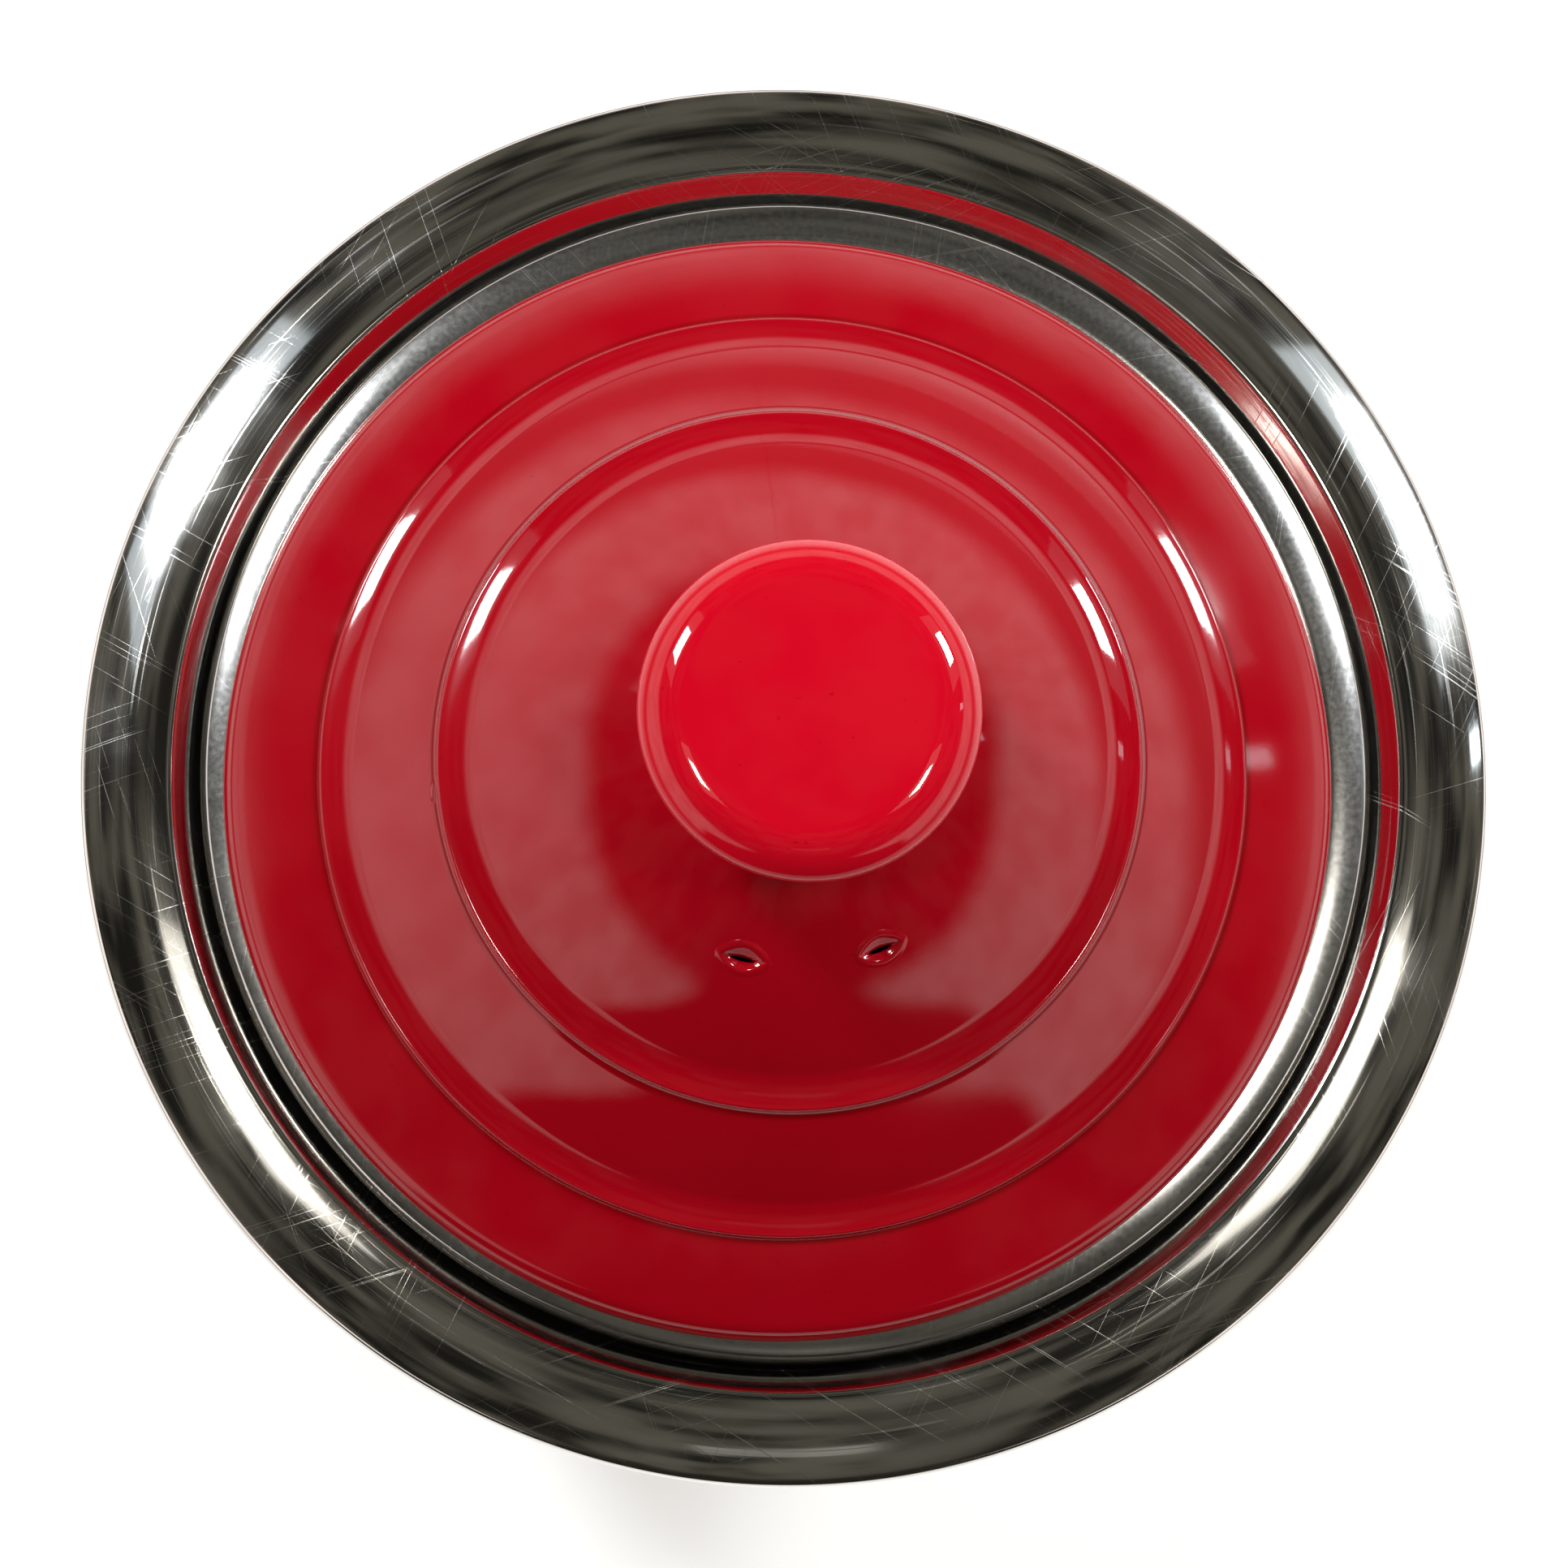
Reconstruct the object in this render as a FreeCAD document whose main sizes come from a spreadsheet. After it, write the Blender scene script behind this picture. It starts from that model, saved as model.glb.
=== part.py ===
import FreeCAD, Part
import math
import os
import Sketcher

from FreeCAD import Placement, Rotation, Vector

# A lidded rotary flour sifter, in millimetres. A steel drum with a wide polished rim stands in a catch
# tray. An enamelled lid with a knob closes it. The knob turns a shaft, and its tongue drives the agitator
# that sweeps flour through the dished screen. The origin is the middle of the underside, with +Z up.

DIMENSIONS = {
    "rim_radius": 105.0,
    "rim_top": 97.0,
    "rim_crest_radius": 91.6,
    "rim_arc_radius": 36.0,
    "rim_sheet": 0.9,
    "rim_curl": 1.6,
    "gutter_radius": 87.2,
    "gutter_depth": 3.7,
    "drum_radius": 79.0,
    "drum_sheet": 0.8,
    "drum_foot": 1.2,
    "drum_hem": 3.2,
    "shoulder_top": 97.0,
    "collar_height": 8.0,
    "collar_reach": 5.0,
    "collar_sheet": 0.9,
    "tray_radius": 81.4,
    "tray_height": 15.4,
    "tray_sheet": 0.8,
    "tray_pad_radius": 60.0,
    "tray_pad_rise": 1.5,
    "tray_corner": 3.0,
    "seal_base": 7.0,
    "seal_height": 4.0,
    "seal_gap": 0.3,
    "screen_height": 22.0,
    "screen_radius": 72.0,
    "screen_depth": 10.0,
    "screen_sheet": 0.7,
    "hoop_height": 7.0,
    "hoop_sheet": 0.8,
    "hoop_flange": 70.0,
    "clamp_radius": 73.0,
    "clamp_height": 2.2,
    "eyelet_bore": 4.6,
    "eyelet_sheet": 0.4,
    "eyelet_radius": 8.0,
    "eyelet_gap": 0.1,
    "bridge_width": 16.0,
    "bridge_reach": 75.0,
    "bridge_end": 64.0,
    "bridge_flat": 20.0,
    "bridge_sheet": 1.5,
    "bridge_top": 9.8,
    "rivet_radius": 1.6,
    "rivet_head": 2.8,
    "rivet_spread": 9.0,
    "bush_radius": 4.5,
    "bush_flange": 7.4,
    "bush_base": 6.8,
    "bush_lip": 1.0,
    "bush_top": 13.3,
    "running_fit": 0.05,
    "shaft_radius": 3.0,
    "shaft_base": 4.6,
    "shaft_top": 62.0,
    "groove_depth": 0.6,
    "hub_radius": 7.2,
    "hub_base": 13.8,
    "hub_height": 8.2,
    "wire_radius": 1.2,
    "arm_gap": 1.0,
    "arm_level": 12.0,
    "arm_reach": 65.6,
    "arm_tip": 12.0,
    "arm_bend": 4.6,
    "breaker_base": 31.0,
    "breaker_rise": 19.0,
    "breaker_reach": 52.0,
    "breaker_bend": 5.0,
    "breaker_angle": 45.0,
    "cup_radius": 12.5,
    "cup_base": 56.0,
    "cup_height": 17.0,
    "slot_length": 18.6,
    "slot_width": 9.0,
    "pin_radius": 1.2,
    "lid_shift_x": -1.49,
    "lid_shift_y": -2.10,
    "lid_turn": 4.0,
    "lid_radius": 81.3,
    "lid_seat": 97.3,
    "lid_wall": 2.4,
    "lid_roll": 5.0,
    "outer_step_radius": 66.05,
    "outer_step_height": 109.2,
    "inner_step_radius": 48.57,
    "inner_step_height": 120.8,
    "step_riser": 1.0,
    "step_band": 4.4,
    "step_band_rise": 1.5,
    "apex_radius": 12.5,
    "apex_height": 140.3,
    "lid_bore": 5.2,
    "vent_radius": 29.5,
    "vent_spread": 36.0,
    "vent_length": 6.2,
    "vent_width": 3.0,
    "skirt_radius": 75.2,
    "skirt_base": 86.6,
    "skirt_sheet": 0.8,
    "skirt_flange": 7.0,
    "lid_bush_base": 132.6,
    "lid_bush_flange": 8.0,
    "lid_bush_lip": 0.9,
    "nut_flats": 15.0,
    "nut_height": 4.0,
    "washer_sheet": 0.6,
    "washer_radius": 9.5,
    "small_washer_radius": 6.0,
    "clip_sheet": 0.7,
    "clip_radius": 5.2,
    "axial_play": 0.04,
    "knob_gap": 0.2,
    "knob_collar_sheet": 0.9,
    "knob_collar_radius": 11.5,
    "knob_radius": 21.3,
    "knob_edge": 154.9,
    "knob_crown_radius": 15.4,
    "knob_shoulder_arc": 7.6,
    "knob_under_arc": 3.2,
    "knob_flare_arc": 13.2,
    "insert_radius": 5.0,
    "insert_height": 9.0,
    "tongue_width": 12.0,
    "tongue_sheet": 3.0,
    "tongue_base": 62.6,
    "tongue_height": 14.0,
}

doc = FreeCAD.newDocument("flour_sifter")
sheet = doc.addObject("Spreadsheet::Sheet", "Sizes")
pieces = []


class Size:
    """A length together with its formula in terms of the sheet's cells."""

    def __init__(self, value, formula):
        self.value = value
        self.formula = formula

    def __add__(self, other):
        return combine(self, "+", other, lambda a, b: a + b)

    def __sub__(self, other):
        return combine(self, "-", other, lambda a, b: a - b)

    def __mul__(self, other):
        return combine(self, "*", other, lambda a, b: a * b)

    def __truediv__(self, other):
        return combine(self, "/", other, lambda a, b: a / b)

    def __neg__(self):
        return self * -1.0


def as_size(length):
    return length if isinstance(length, Size) else Size(float(length), f"{float(length):.9f}")


def combine(left, sign, right, work):
    right = as_size(right)
    return Size(work(left.value, right.value), f"({left.formula} {sign} {right.formula})")


def cell(name):
    return Size(DIMENSIONS[name], f"Sizes.{name}")


def bind(thing, prop, size):
    thing.setExpression(prop, as_size(size).formula)


def fill_sheet():
    for row, (name, value) in enumerate(DIMENSIONS.items(), start=1):
        sheet.set(f"A{row}", name)
        sheet.set(f"B{row}", str(value))
        sheet.setAlias(f"B{row}", name)
    doc.recompute()


# ---- sketching ----


def new_body(label):
    body = doc.addObject("PartDesign::Body", label)
    body.Label = label
    pieces.append(body)
    return body


def new_sketch(body, name, role="XZ_Plane"):
    sketch = body.newObject("Sketcher::SketchObject", f"{body.Name}_{name}")
    plane = next(item for item in body.Origin.OriginFeatures if item.Role == role)
    sketch.AttachmentSupport = [(plane, "")]
    sketch.MapMode = "FlatFace"
    return sketch


def arc_centre(start, end, radius):
    """Centre of the short arc from start to end: on the left for a positive radius, else on the right."""
    half = (end - start) * 0.5
    rise = math.sqrt(max(radius * radius - half.Length**2, 0.0))
    left = Vector(-half.y, half.x, 0) / half.Length
    return start + half + left * math.copysign(rise, radius)


def heading_across(start, end, radius, spot):
    """Unit direction of travel at a spot on the line or arc from start to end."""
    if radius is None:
        return (end - start).normalize()
    out = (spot - arc_centre(start, end, radius)).normalize() * math.copysign(1.0, radius)
    return Vector(-out.y, out.x, 0)


def curve_between(start, end, radius):
    if radius is None:
        return Part.LineSegment(start, end)
    centre = arc_centre(start, end, radius)
    chord = end - start
    right = Vector(chord.y, -chord.x, 0).normalize() * math.copysign(abs(radius), radius)
    return Part.Arc(start, centre + right, end)


def hold_point(sketch, index, place, across, up):
    """Constrains one sketch point to its distances from the axes."""
    for kind, axis, size in (("DistanceX", -2, across), ("DistanceY", -1, up)):
        size = as_size(size)
        if abs(size.value) < 1e-9:
            sketch.addConstraint(Sketcher.Constraint("PointOnObject", index, place, axis))
        else:
            held = sketch.addConstraint(Sketcher.Constraint(kind, -1, 1, index, place, size.value))
            bind(sketch, f"Constraints[{held}]", size)


def hold_radius(sketch, index, size):
    held = sketch.addConstraint(Sketcher.Constraint("Radius", index, abs(size.value)))
    bind(sketch, f"Constraints[{held}]", size if size.value > 0 else -size)


def draw(sketch, outline, closed=True):
    """Draws through (across, up) points. A third value is the radius of the arc that reaches the point."""
    spots = [Vector(as_size(point[0]).value, as_size(point[1]).value, 0) for point in outline]
    edges = []
    for k in range(len(outline) if closed else len(outline) - 1):
        following = (k + 1) % len(outline)
        size = as_size(outline[following][2]) if len(outline[following]) == 3 else None
        curve = curve_between(spots[k], spots[following], size.value if size else None)
        index = sketch.addGeometry(curve, False)
        first = 1 if sketch.getPoint(index, 1).distanceToPoint(spots[k]) < 1e-6 else 2
        edges.append((index, first, 3 - first))
        if size:
            hold_radius(sketch, index, size)
    joints = list(zip(edges, edges[1:] + edges[:1])) if closed else list(zip(edges, edges[1:]))
    for (index, _, last), (after, first, _) in joints:
        sketch.addConstraint(Sketcher.Constraint("Coincident", index, last, after, first))
    for (index, first, _), point in zip(edges, outline):
        hold_point(sketch, index, first, point[0], point[1])
    if not closed:
        hold_point(sketch, edges[-1][0], edges[-1][2], outline[-1][0], outline[-1][1])


def draw_circle(sketch, across, up, radius):
    centre = Vector(as_size(across).value, as_size(up).value, 0)
    index = sketch.addGeometry(Part.Circle(centre, Vector(0, 0, 1), radius.value), False)
    hold_radius(sketch, index, radius)
    hold_point(sketch, index, 3, across, up)


def sheet_section(face, wall):
    """Closed section of sheet metal: the drawn face, and a face one wall to the left of it."""
    spots = [Vector(as_size(point[0]).value, as_size(point[1]).value, 0) for point in face]
    arcs = [as_size(point[2]) if len(point) == 3 else None for point in face]
    shifted = []
    for k, spot in enumerate(spots):
        headings = []
        for a, b in ((k - 1, k), (k, k + 1)):
            if a >= 0 and b < len(spots):
                radius = arcs[b].value if arcs[b] else None
                headings.append(heading_across(spots[a], spots[b], radius, spot))
        normals = [Vector(-heading.y, heading.x, 0) for heading in headings]
        mitre = normals[0]
        if len(normals) == 2:
            mitre = (normals[0] + normals[1]) / (1.0 + normals[0].dot(normals[1]))
        across = as_size(face[k][0]) + wall * mitre.x
        up = as_size(face[k][1]) + wall * mitre.y
        shifted.append((across, up))
    outline = list(face) + [shifted[-1]]
    for k in range(len(face) - 2, -1, -1):
        arc = arcs[k + 1]
        outline.append(shifted[k] if arc is None else (*shifted[k], wall - arc))
    return outline


# ---- pieces of each kind ----


def turned(label, outline):
    """A piece turned about Z from a closed section of (radius, height) points."""
    body = new_body(label)
    section = new_sketch(body, "section")
    draw(section, outline)
    solid = body.newObject("PartDesign::Revolution", f"{label}_turning")
    solid.Profile = section
    solid.ReferenceAxis = (section, ["V_Axis"])
    solid.Angle = 360.0
    return body


def ring(label, inner, outer, base, top):
    return turned(label, [(inner, base), (outer, base), (outer, top), (inner, top)])


def bent_wire(label, path, radius):
    """A round wire along (distance, height) points. The path starts level, along X."""
    body = new_body(label)
    spine = new_sketch(body, "path")
    draw(spine, path, closed=False)
    section = new_sketch(body, "wire", "YZ_Plane")
    bind(section, "AttachmentOffset.Base.z", path[0][0])
    draw_circle(section, 0.0, path[0][1], radius)
    doc.recompute()
    pipe = body.newObject("PartDesign::AdditivePipe", f"{label}_sweep")
    pipe.Profile = section
    pipe.Spine = (spine, [f"Edge{k + 1}" for k in range(len(path) - 1)])
    return body


def cut_through(body, sketch, name, backwards=False):
    """Pockets a sketch through the whole body, and makes sure that it cut something."""
    doc.recompute()
    before = body.Shape.Volume
    pocket = body.newObject("PartDesign::Pocket", name)
    pocket.Profile = sketch
    pocket.Type = "ThroughAll"
    pocket.Reversed = backwards
    doc.recompute()
    if body.Shape.Volume > before - 1.0:
        raise RuntimeError(f"{name} cut nothing")
    return pocket


def place_turned(body, degrees):
    body.Placement = Placement(Vector(0, 0, 0), Rotation(Vector(0, 0, 1), degrees))


def place_with_lid(body, degrees=DIMENSIONS["lid_turn"]):
    """The lid lies a little off the drum's centre, within its play, and a little turned."""
    place_turned(body, degrees)
    bind(body, "Placement.Base.x", cell("lid_shift_x"))
    bind(body, "Placement.Base.y", cell("lid_shift_y"))
    return body


# ---- catch tray ----


def make_tray():
    outside = cell("tray_radius")
    wall = cell("tray_sheet")
    top = cell("tray_height")
    corner = cell("tray_corner")
    pad = cell("tray_pad_radius")
    rise = cell("tray_pad_rise")
    face = [
        (0.0, rise),
        (pad - rise, rise),
        (pad, 0.0),
        (outside - corner, 0.0),
        (outside, corner, corner),
        (outside, top - 1.0),
        (outside + 1.0, top, -1.0),
        (outside + 1.8, top),
    ]
    turned("catch_tray", sheet_section(face, wall))
    inner = cell("drum_radius") + cell("seal_gap")
    base = cell("seal_base")
    lip = base + cell("seal_height")
    turned(
        "tray_seal",
        [
            (inner + 0.6, base),
            (outside - wall, base),
            (outside - wall, lip),
            (inner + 0.6, lip),
            (inner + 0.6, lip - 1.4),
            (inner, lip - 2.0),
            (inner + 0.6, lip - 2.6),
        ],
    )


# ---- drum and rim ----


def make_drum():
    """The wall starts at a folded hem and ends in a flat shoulder with a rolled lip, which carries the lid."""
    outside = cell("drum_radius")
    wall = cell("drum_sheet")
    foot = cell("drum_foot")
    hem = 0.9
    top = cell("shoulder_top")
    roll = 2.8
    crest = outside - wall + roll
    arc = 16.0
    droop = math.radians(16.0)
    lip = 1.2
    lip_turn = math.radians(75.0)
    brow = crest + arc * math.sin(droop)
    brow_height = top - arc * (1.0 - math.cos(droop))
    face = [
        (outside - hem * 2.0, foot + cell("drum_hem")),
        (outside - hem * 2.0, foot + hem),
        (outside - hem, foot, hem),
        (outside, foot + hem, hem),
        (outside, top - roll),
        (crest, top - wall, -(as_size(roll) - wall)),
        (
            crest + (as_size(arc) - wall) * math.sin(droop),
            top - arc + (as_size(arc) - wall) * math.cos(droop),
            -(as_size(arc) - wall),
        ),
        (
            brow + lip * (math.sin(lip_turn) - math.sin(droop)) - wall * math.sin(lip_turn),
            brow_height - lip * (math.cos(droop) - math.cos(lip_turn)) - wall * math.cos(lip_turn),
            -(as_size(lip) - wall),
        ),
    ]
    turned("drum_shell", sheet_section(face, wall))


def make_rim():
    """The wide rim: a curled edge, a convex slope up to the crest, then a steep wall down to the gutter."""
    edge = cell("rim_radius")
    top = cell("rim_top")
    crest = cell("rim_crest_radius")
    arc = cell("rim_arc_radius")
    curl = cell("rim_curl")
    wall = cell("rim_sheet")
    gutter = cell("gutter_radius")
    floor = top - cell("gutter_depth")
    slope = math.asin((edge - crest - curl).value / (arc - curl).value)
    join = crest + arc * math.sin(slope)
    join_height = top - arc * (1.0 - math.cos(slope))
    curl_centre = join_height - curl * math.cos(slope)
    nose = 1.5
    fall = math.radians(44.0)
    ease = math.radians(36.0)
    fillet = 1.8
    hollow = 32.0
    turned_under = 4.5
    fillet_radius = gutter - fillet * math.sin(ease)
    face = [
        (edge - turned_under, curl_centre - curl),
        (edge - curl, curl_centre - curl),
        (join, join_height, curl),
        (crest, top, arc),
        (crest - nose * math.sin(fall), top - nose * (1.0 - math.cos(fall)), nose),
        (gutter, floor + fillet * (1.0 - math.cos(ease)), -hollow),
        (fillet_radius, floor, -fillet),
        (cell("drum_radius") + 0.3, floor),
    ]
    turned("rim_ring", sheet_section(face, wall))
    base = floor - wall
    leg = cell("drum_radius")
    foot = base - cell("collar_height")
    skin = cell("collar_sheet")
    face = [(leg, foot), (leg, base), (leg + cell("collar_reach"), base)]
    turned("rim_collar", sheet_section(list(reversed(face)), skin))


# ---- screen and lower bearing ----


def dish_sphere():
    reach = cell("screen_radius")
    depth = cell("screen_depth")
    return (reach * reach + depth * depth) / (depth * 2.0)


def dish_height(distance):
    """Height of the screen's underside at a distance from its centre."""
    sphere = dish_sphere()
    sag = sphere.value - math.sqrt(sphere.value**2 - distance**2)
    return cell("screen_height") - cell("screen_depth") + sag


def make_screen():
    outside = cell("drum_radius") - cell("drum_sheet")
    top = cell("screen_height")
    low = top - cell("hoop_height")
    mouth = cell("screen_radius")
    face = [
        (cell("hoop_flange"), low),
        (outside - 1.0, low),
        (outside, low + 1.0, 1.0),
        (outside, top - 1.0),
        (outside - 1.0, top, 1.0),
        (mouth + 0.4, top),
    ]
    turned("screen_hoop", sheet_section(face, cell("hoop_sheet")))
    sheet_wall = cell("screen_sheet")
    bore = cell("eyelet_bore") + cell("eyelet_sheet") + cell("eyelet_gap")
    start = dish_height(bore.value)
    face = [(bore, start), (mouth, top, dish_sphere()), (outside - 1.0, top)]
    turned("screen_mesh", sheet_section(face, sheet_wall))
    clamp = top + sheet_wall
    turned(
        "screen_clamp_ring",
        [
            (cell("clamp_radius"), clamp),
            (outside, clamp),
            (outside, clamp + cell("clamp_height")),
            (outside - 1.6, clamp + cell("clamp_height")),
            (cell("clamp_radius"), clamp + 0.8),
        ],
    )
    skin = cell("eyelet_sheet")
    brim = cell("eyelet_radius")
    sleeve = cell("eyelet_bore")
    clear = 0.02
    upper = dish_height(brim.value) + sheet_wall + clear
    lower = start - clear
    face = [
        (brim, upper + skin),
        (sleeve, upper + skin),
        (sleeve, lower - skin),
        (brim, lower - skin),
    ]
    turned("screen_eyelet", sheet_section(face, skin))


def rivet_places():
    """Centres of the rivets that hold the bridge under the hoop's lower flange."""
    reach = (cell("bridge_reach") + cell("hoop_flange")) * 0.5
    spread = cell("rivet_spread") * 0.5
    return [(reach * end, spread * side) for end in (-1.0, 1.0) for side in (-1.0, 1.0)]


def make_bridge():
    """A cranked strap across the drum, which holds the lower bush on the axis."""
    half = cell("bridge_reach")
    bend = cell("bridge_end")
    flat = cell("bridge_flat")
    wall = cell("bridge_sheet")
    under = cell("screen_height") - cell("hoop_height") - wall
    low = cell("bridge_top") - wall
    body = new_body("bearing_bridge")
    side = new_sketch(body, "side")
    face = [(-half, under), (-bend, under), (-flat, low), (flat, low), (bend, under), (half, under)]
    draw(side, sheet_section(face, wall))
    strap = body.newObject("PartDesign::Pad", "bearing_bridge_strap")
    strap.Profile = side
    strap.Midplane = True
    bind(strap, "Length", cell("bridge_width"))
    doc.recompute()
    holes = new_sketch(body, "holes", "XY_Plane")
    draw_circle(holes, 0.0, 0.0, cell("bush_radius"))
    for across, along in rivet_places():
        draw_circle(holes, across, along, cell("rivet_radius"))
    cut_through(body, holes, "bearing_bridge_drilling", backwards=True)


def make_rivets():
    under = cell("screen_height") - cell("hoop_height") - cell("bridge_sheet")
    flange = under + cell("bridge_sheet") + cell("hoop_sheet")
    head = 1.0
    tail = 0.8
    group = []
    for number, (across, along) in enumerate(rivet_places(), start=1):
        steps = [
            ("shank", cell("rivet_radius"), under - head * 0.5, flange - under + head * 0.5 + tail * 0.5),
            ("head", cell("rivet_head"), under - head, as_size(head)),
            ("tail", cell("rivet_head") * 0.85, flange, as_size(tail)),
        ]
        cylinders = []
        for name, radius, base, height in steps:
            cylinder = doc.addObject("Part::Cylinder", f"rivet_{name}_{number}")
            bind(cylinder, "Radius", radius)
            bind(cylinder, "Height", height)
            bind(cylinder, "Placement.Base.x", across)
            bind(cylinder, "Placement.Base.y", along)
            bind(cylinder, "Placement.Base.z", base)
            cylinders.append(cylinder)
        joined = doc.addObject("Part::MultiFuse", f"rivet_{number}")
        joined.Shapes = cylinders
        group.append(joined)
    together = doc.addObject("Part::Compound", "bridge_rivets")
    together.Label = "bridge_rivets"
    together.Links = group
    pieces.append(together)


def make_lower_bearing():
    bore = cell("shaft_radius") + cell("running_fit")
    outer = cell("bush_radius")
    base = cell("bush_base")
    shelf = cell("bridge_top")
    play = cell("axial_play")
    turned(
        "lower_bush",
        [
            (bore, base),
            (outer, base),
            (outer, shelf),
            (cell("bush_flange"), shelf),
            (cell("bush_flange"), shelf + cell("bush_lip")),
            (outer, shelf + cell("bush_lip")),
            (outer, cell("bush_top")),
            (bore, cell("bush_top")),
        ],
    )
    washer_top = base - play
    clip_top = washer_top - cell("washer_sheet")
    ring("thrust_washer", bore, cell("small_washer_radius"), clip_top, washer_top)
    ring("lower_shaft_clip", groove_radius(), cell("clip_radius"), clip_top - cell("clip_sheet"), clip_top)


def groove_radius():
    return cell("shaft_radius") - cell("groove_depth")


# ---- agitator ----


def make_agitator_shaft():
    radius = cell("shaft_radius")
    base = cell("shaft_base")
    top = cell("shaft_top")
    clip_top = cell("bush_base") - cell("axial_play") - cell("washer_sheet")
    clip_base = clip_top - cell("clip_sheet")
    turned(
        "agitator_shaft",
        [
            (0.0, base),
            (radius - 0.5, base),
            (radius, base + 0.5),
            (radius, clip_base),
            (groove_radius(), clip_base),
            (groove_radius(), clip_top),
            (radius, clip_top),
            (radius, top),
            (0.0, top),
        ],
    )


def make_agitator_hub():
    base = cell("hub_base")
    top = base + cell("hub_height")
    radius = cell("hub_radius")
    bore = cell("shaft_radius")
    turned(
        "agitator_hub",
        [
            (bore, base),
            (radius - 0.8, base),
            (radius, base + 0.8),
            (radius, top - 1.2),
            (radius - 1.2, top),
            (bore, top),
        ],
    )


def make_agitator_arms():
    """Four wires that skim the dished screen and turn up beside the drum's wall."""
    wire = cell("wire_radius")
    lift = cell("screen_sheet") + cell("arm_gap") + wire
    level = dish_height(0.0) + lift + 0.7
    near = cell("arm_level")
    far = cell("arm_reach")
    far_height = dish_height(far.value) + lift
    run = far - near
    climb = far_height - level
    sweep = (run * run + climb * climb) / (climb * 2.0)
    lean = math.asin(run.value / sweep.value)
    bend = cell("arm_bend")
    tip = far + bend * (1.0 - math.sin(lean))
    tip_start = far_height + bend * math.cos(lean)
    path = [
        (cell("hub_radius") - 2.0, level),
        (near, level),
        (far, far_height, sweep),
        (tip, tip_start, bend),
        (tip, far_height + cell("arm_tip")),
    ]
    for number in range(4):
        place_turned(bent_wire(f"agitator_arm_{number + 1}", path, wire), 90.0 * number)


def make_lump_breakers():
    """Two wire loops higher on the shaft, which break lumps before they reach the screen."""
    bend = cell("breaker_bend")
    base = cell("breaker_base")
    top = base + cell("breaker_rise")
    reach = cell("breaker_reach")
    start = cell("shaft_radius") - 1.0
    path = [
        (start, base),
        (reach - bend, base),
        (reach, base + bend, bend),
        (reach, top - bend),
        (reach - bend, top, bend),
        (start, top),
    ]
    for number in range(2):
        body = bent_wire(f"lump_breaker_{number + 1}", path, cell("wire_radius"))
        place_turned(body, DIMENSIONS["breaker_angle"] + 180.0 * number)


def make_drive_cup():
    """The shaft's head. Its slot is oversize, so the tongue drives it wherever the lid lies in its play."""
    base = cell("cup_base")
    top = base + cell("cup_height")
    radius = cell("cup_radius")
    bore = cell("shaft_radius")
    floor = cell("shaft_top") - 1.0
    body = turned(
        "drive_cup",
        [
            (bore, base),
            (radius - 2.0, base),
            (radius, base + 2.0),
            (radius, top - 0.8),
            (radius - 0.8, top),
            (bore, top),
        ],
    )
    doc.recompute()
    before = body.Shape.Volume
    slot = new_sketch(body, "slot", "XY_Plane")
    bind(slot, "AttachmentOffset.Base.z", top)
    along = cell("slot_length") * 0.5
    across = cell("slot_width") * 0.5
    draw(slot, [(along, -across), (along, across), (-along, across), (-along, -across)])
    pocket = body.newObject("PartDesign::Pocket", "drive_cup_slot")
    pocket.Profile = slot
    bind(pocket, "Length", top - floor)
    doc.recompute()
    if body.Shape.Volume > before - 100.0:
        raise RuntimeError("the drive cup's slot cut nothing")
    pin = doc.addObject("Part::Cylinder", "drive_cup_pin")
    pin.Label = "drive_cup_pin"
    bind(pin, "Radius", cell("pin_radius"))
    bind(pin, "Height", radius * 2.0)
    pin.Placement = Placement(Vector(0, 0, 0), Rotation(Vector(1, 0, 0), 90))
    bind(pin, "Placement.Base.y", radius)
    bind(pin, "Placement.Base.z", base + 2.4)
    pieces.append(pin)


# ---- lid ----


def lid_underside():
    """Points of the lid's plain underside, from its edge to its crown."""
    drop = cell("lid_wall") * 1.2
    crown = cell("inner_step_radius") - cell("step_band")
    crown_height = cell("inner_step_height") + cell("step_band_rise") - drop
    haunch = cell("outer_step_radius") - cell("step_band")
    haunch_height = cell("outer_step_height") + cell("step_band_rise") - drop
    return [
        (cell("lid_radius") - 2.6, cell("lid_seat") + 0.1),
        (haunch, haunch_height),
        (crown, crown_height),
    ]


def lid_step(radius, height):
    """A raised step of the lid's face: riser, rounded nose, then a flatter band."""
    return [
        (radius, height - 0.4),
        (radius - 0.6, height + 0.1, 0.6),
        (radius - cell("step_band"), height + cell("step_band_rise")),
    ]


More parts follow.
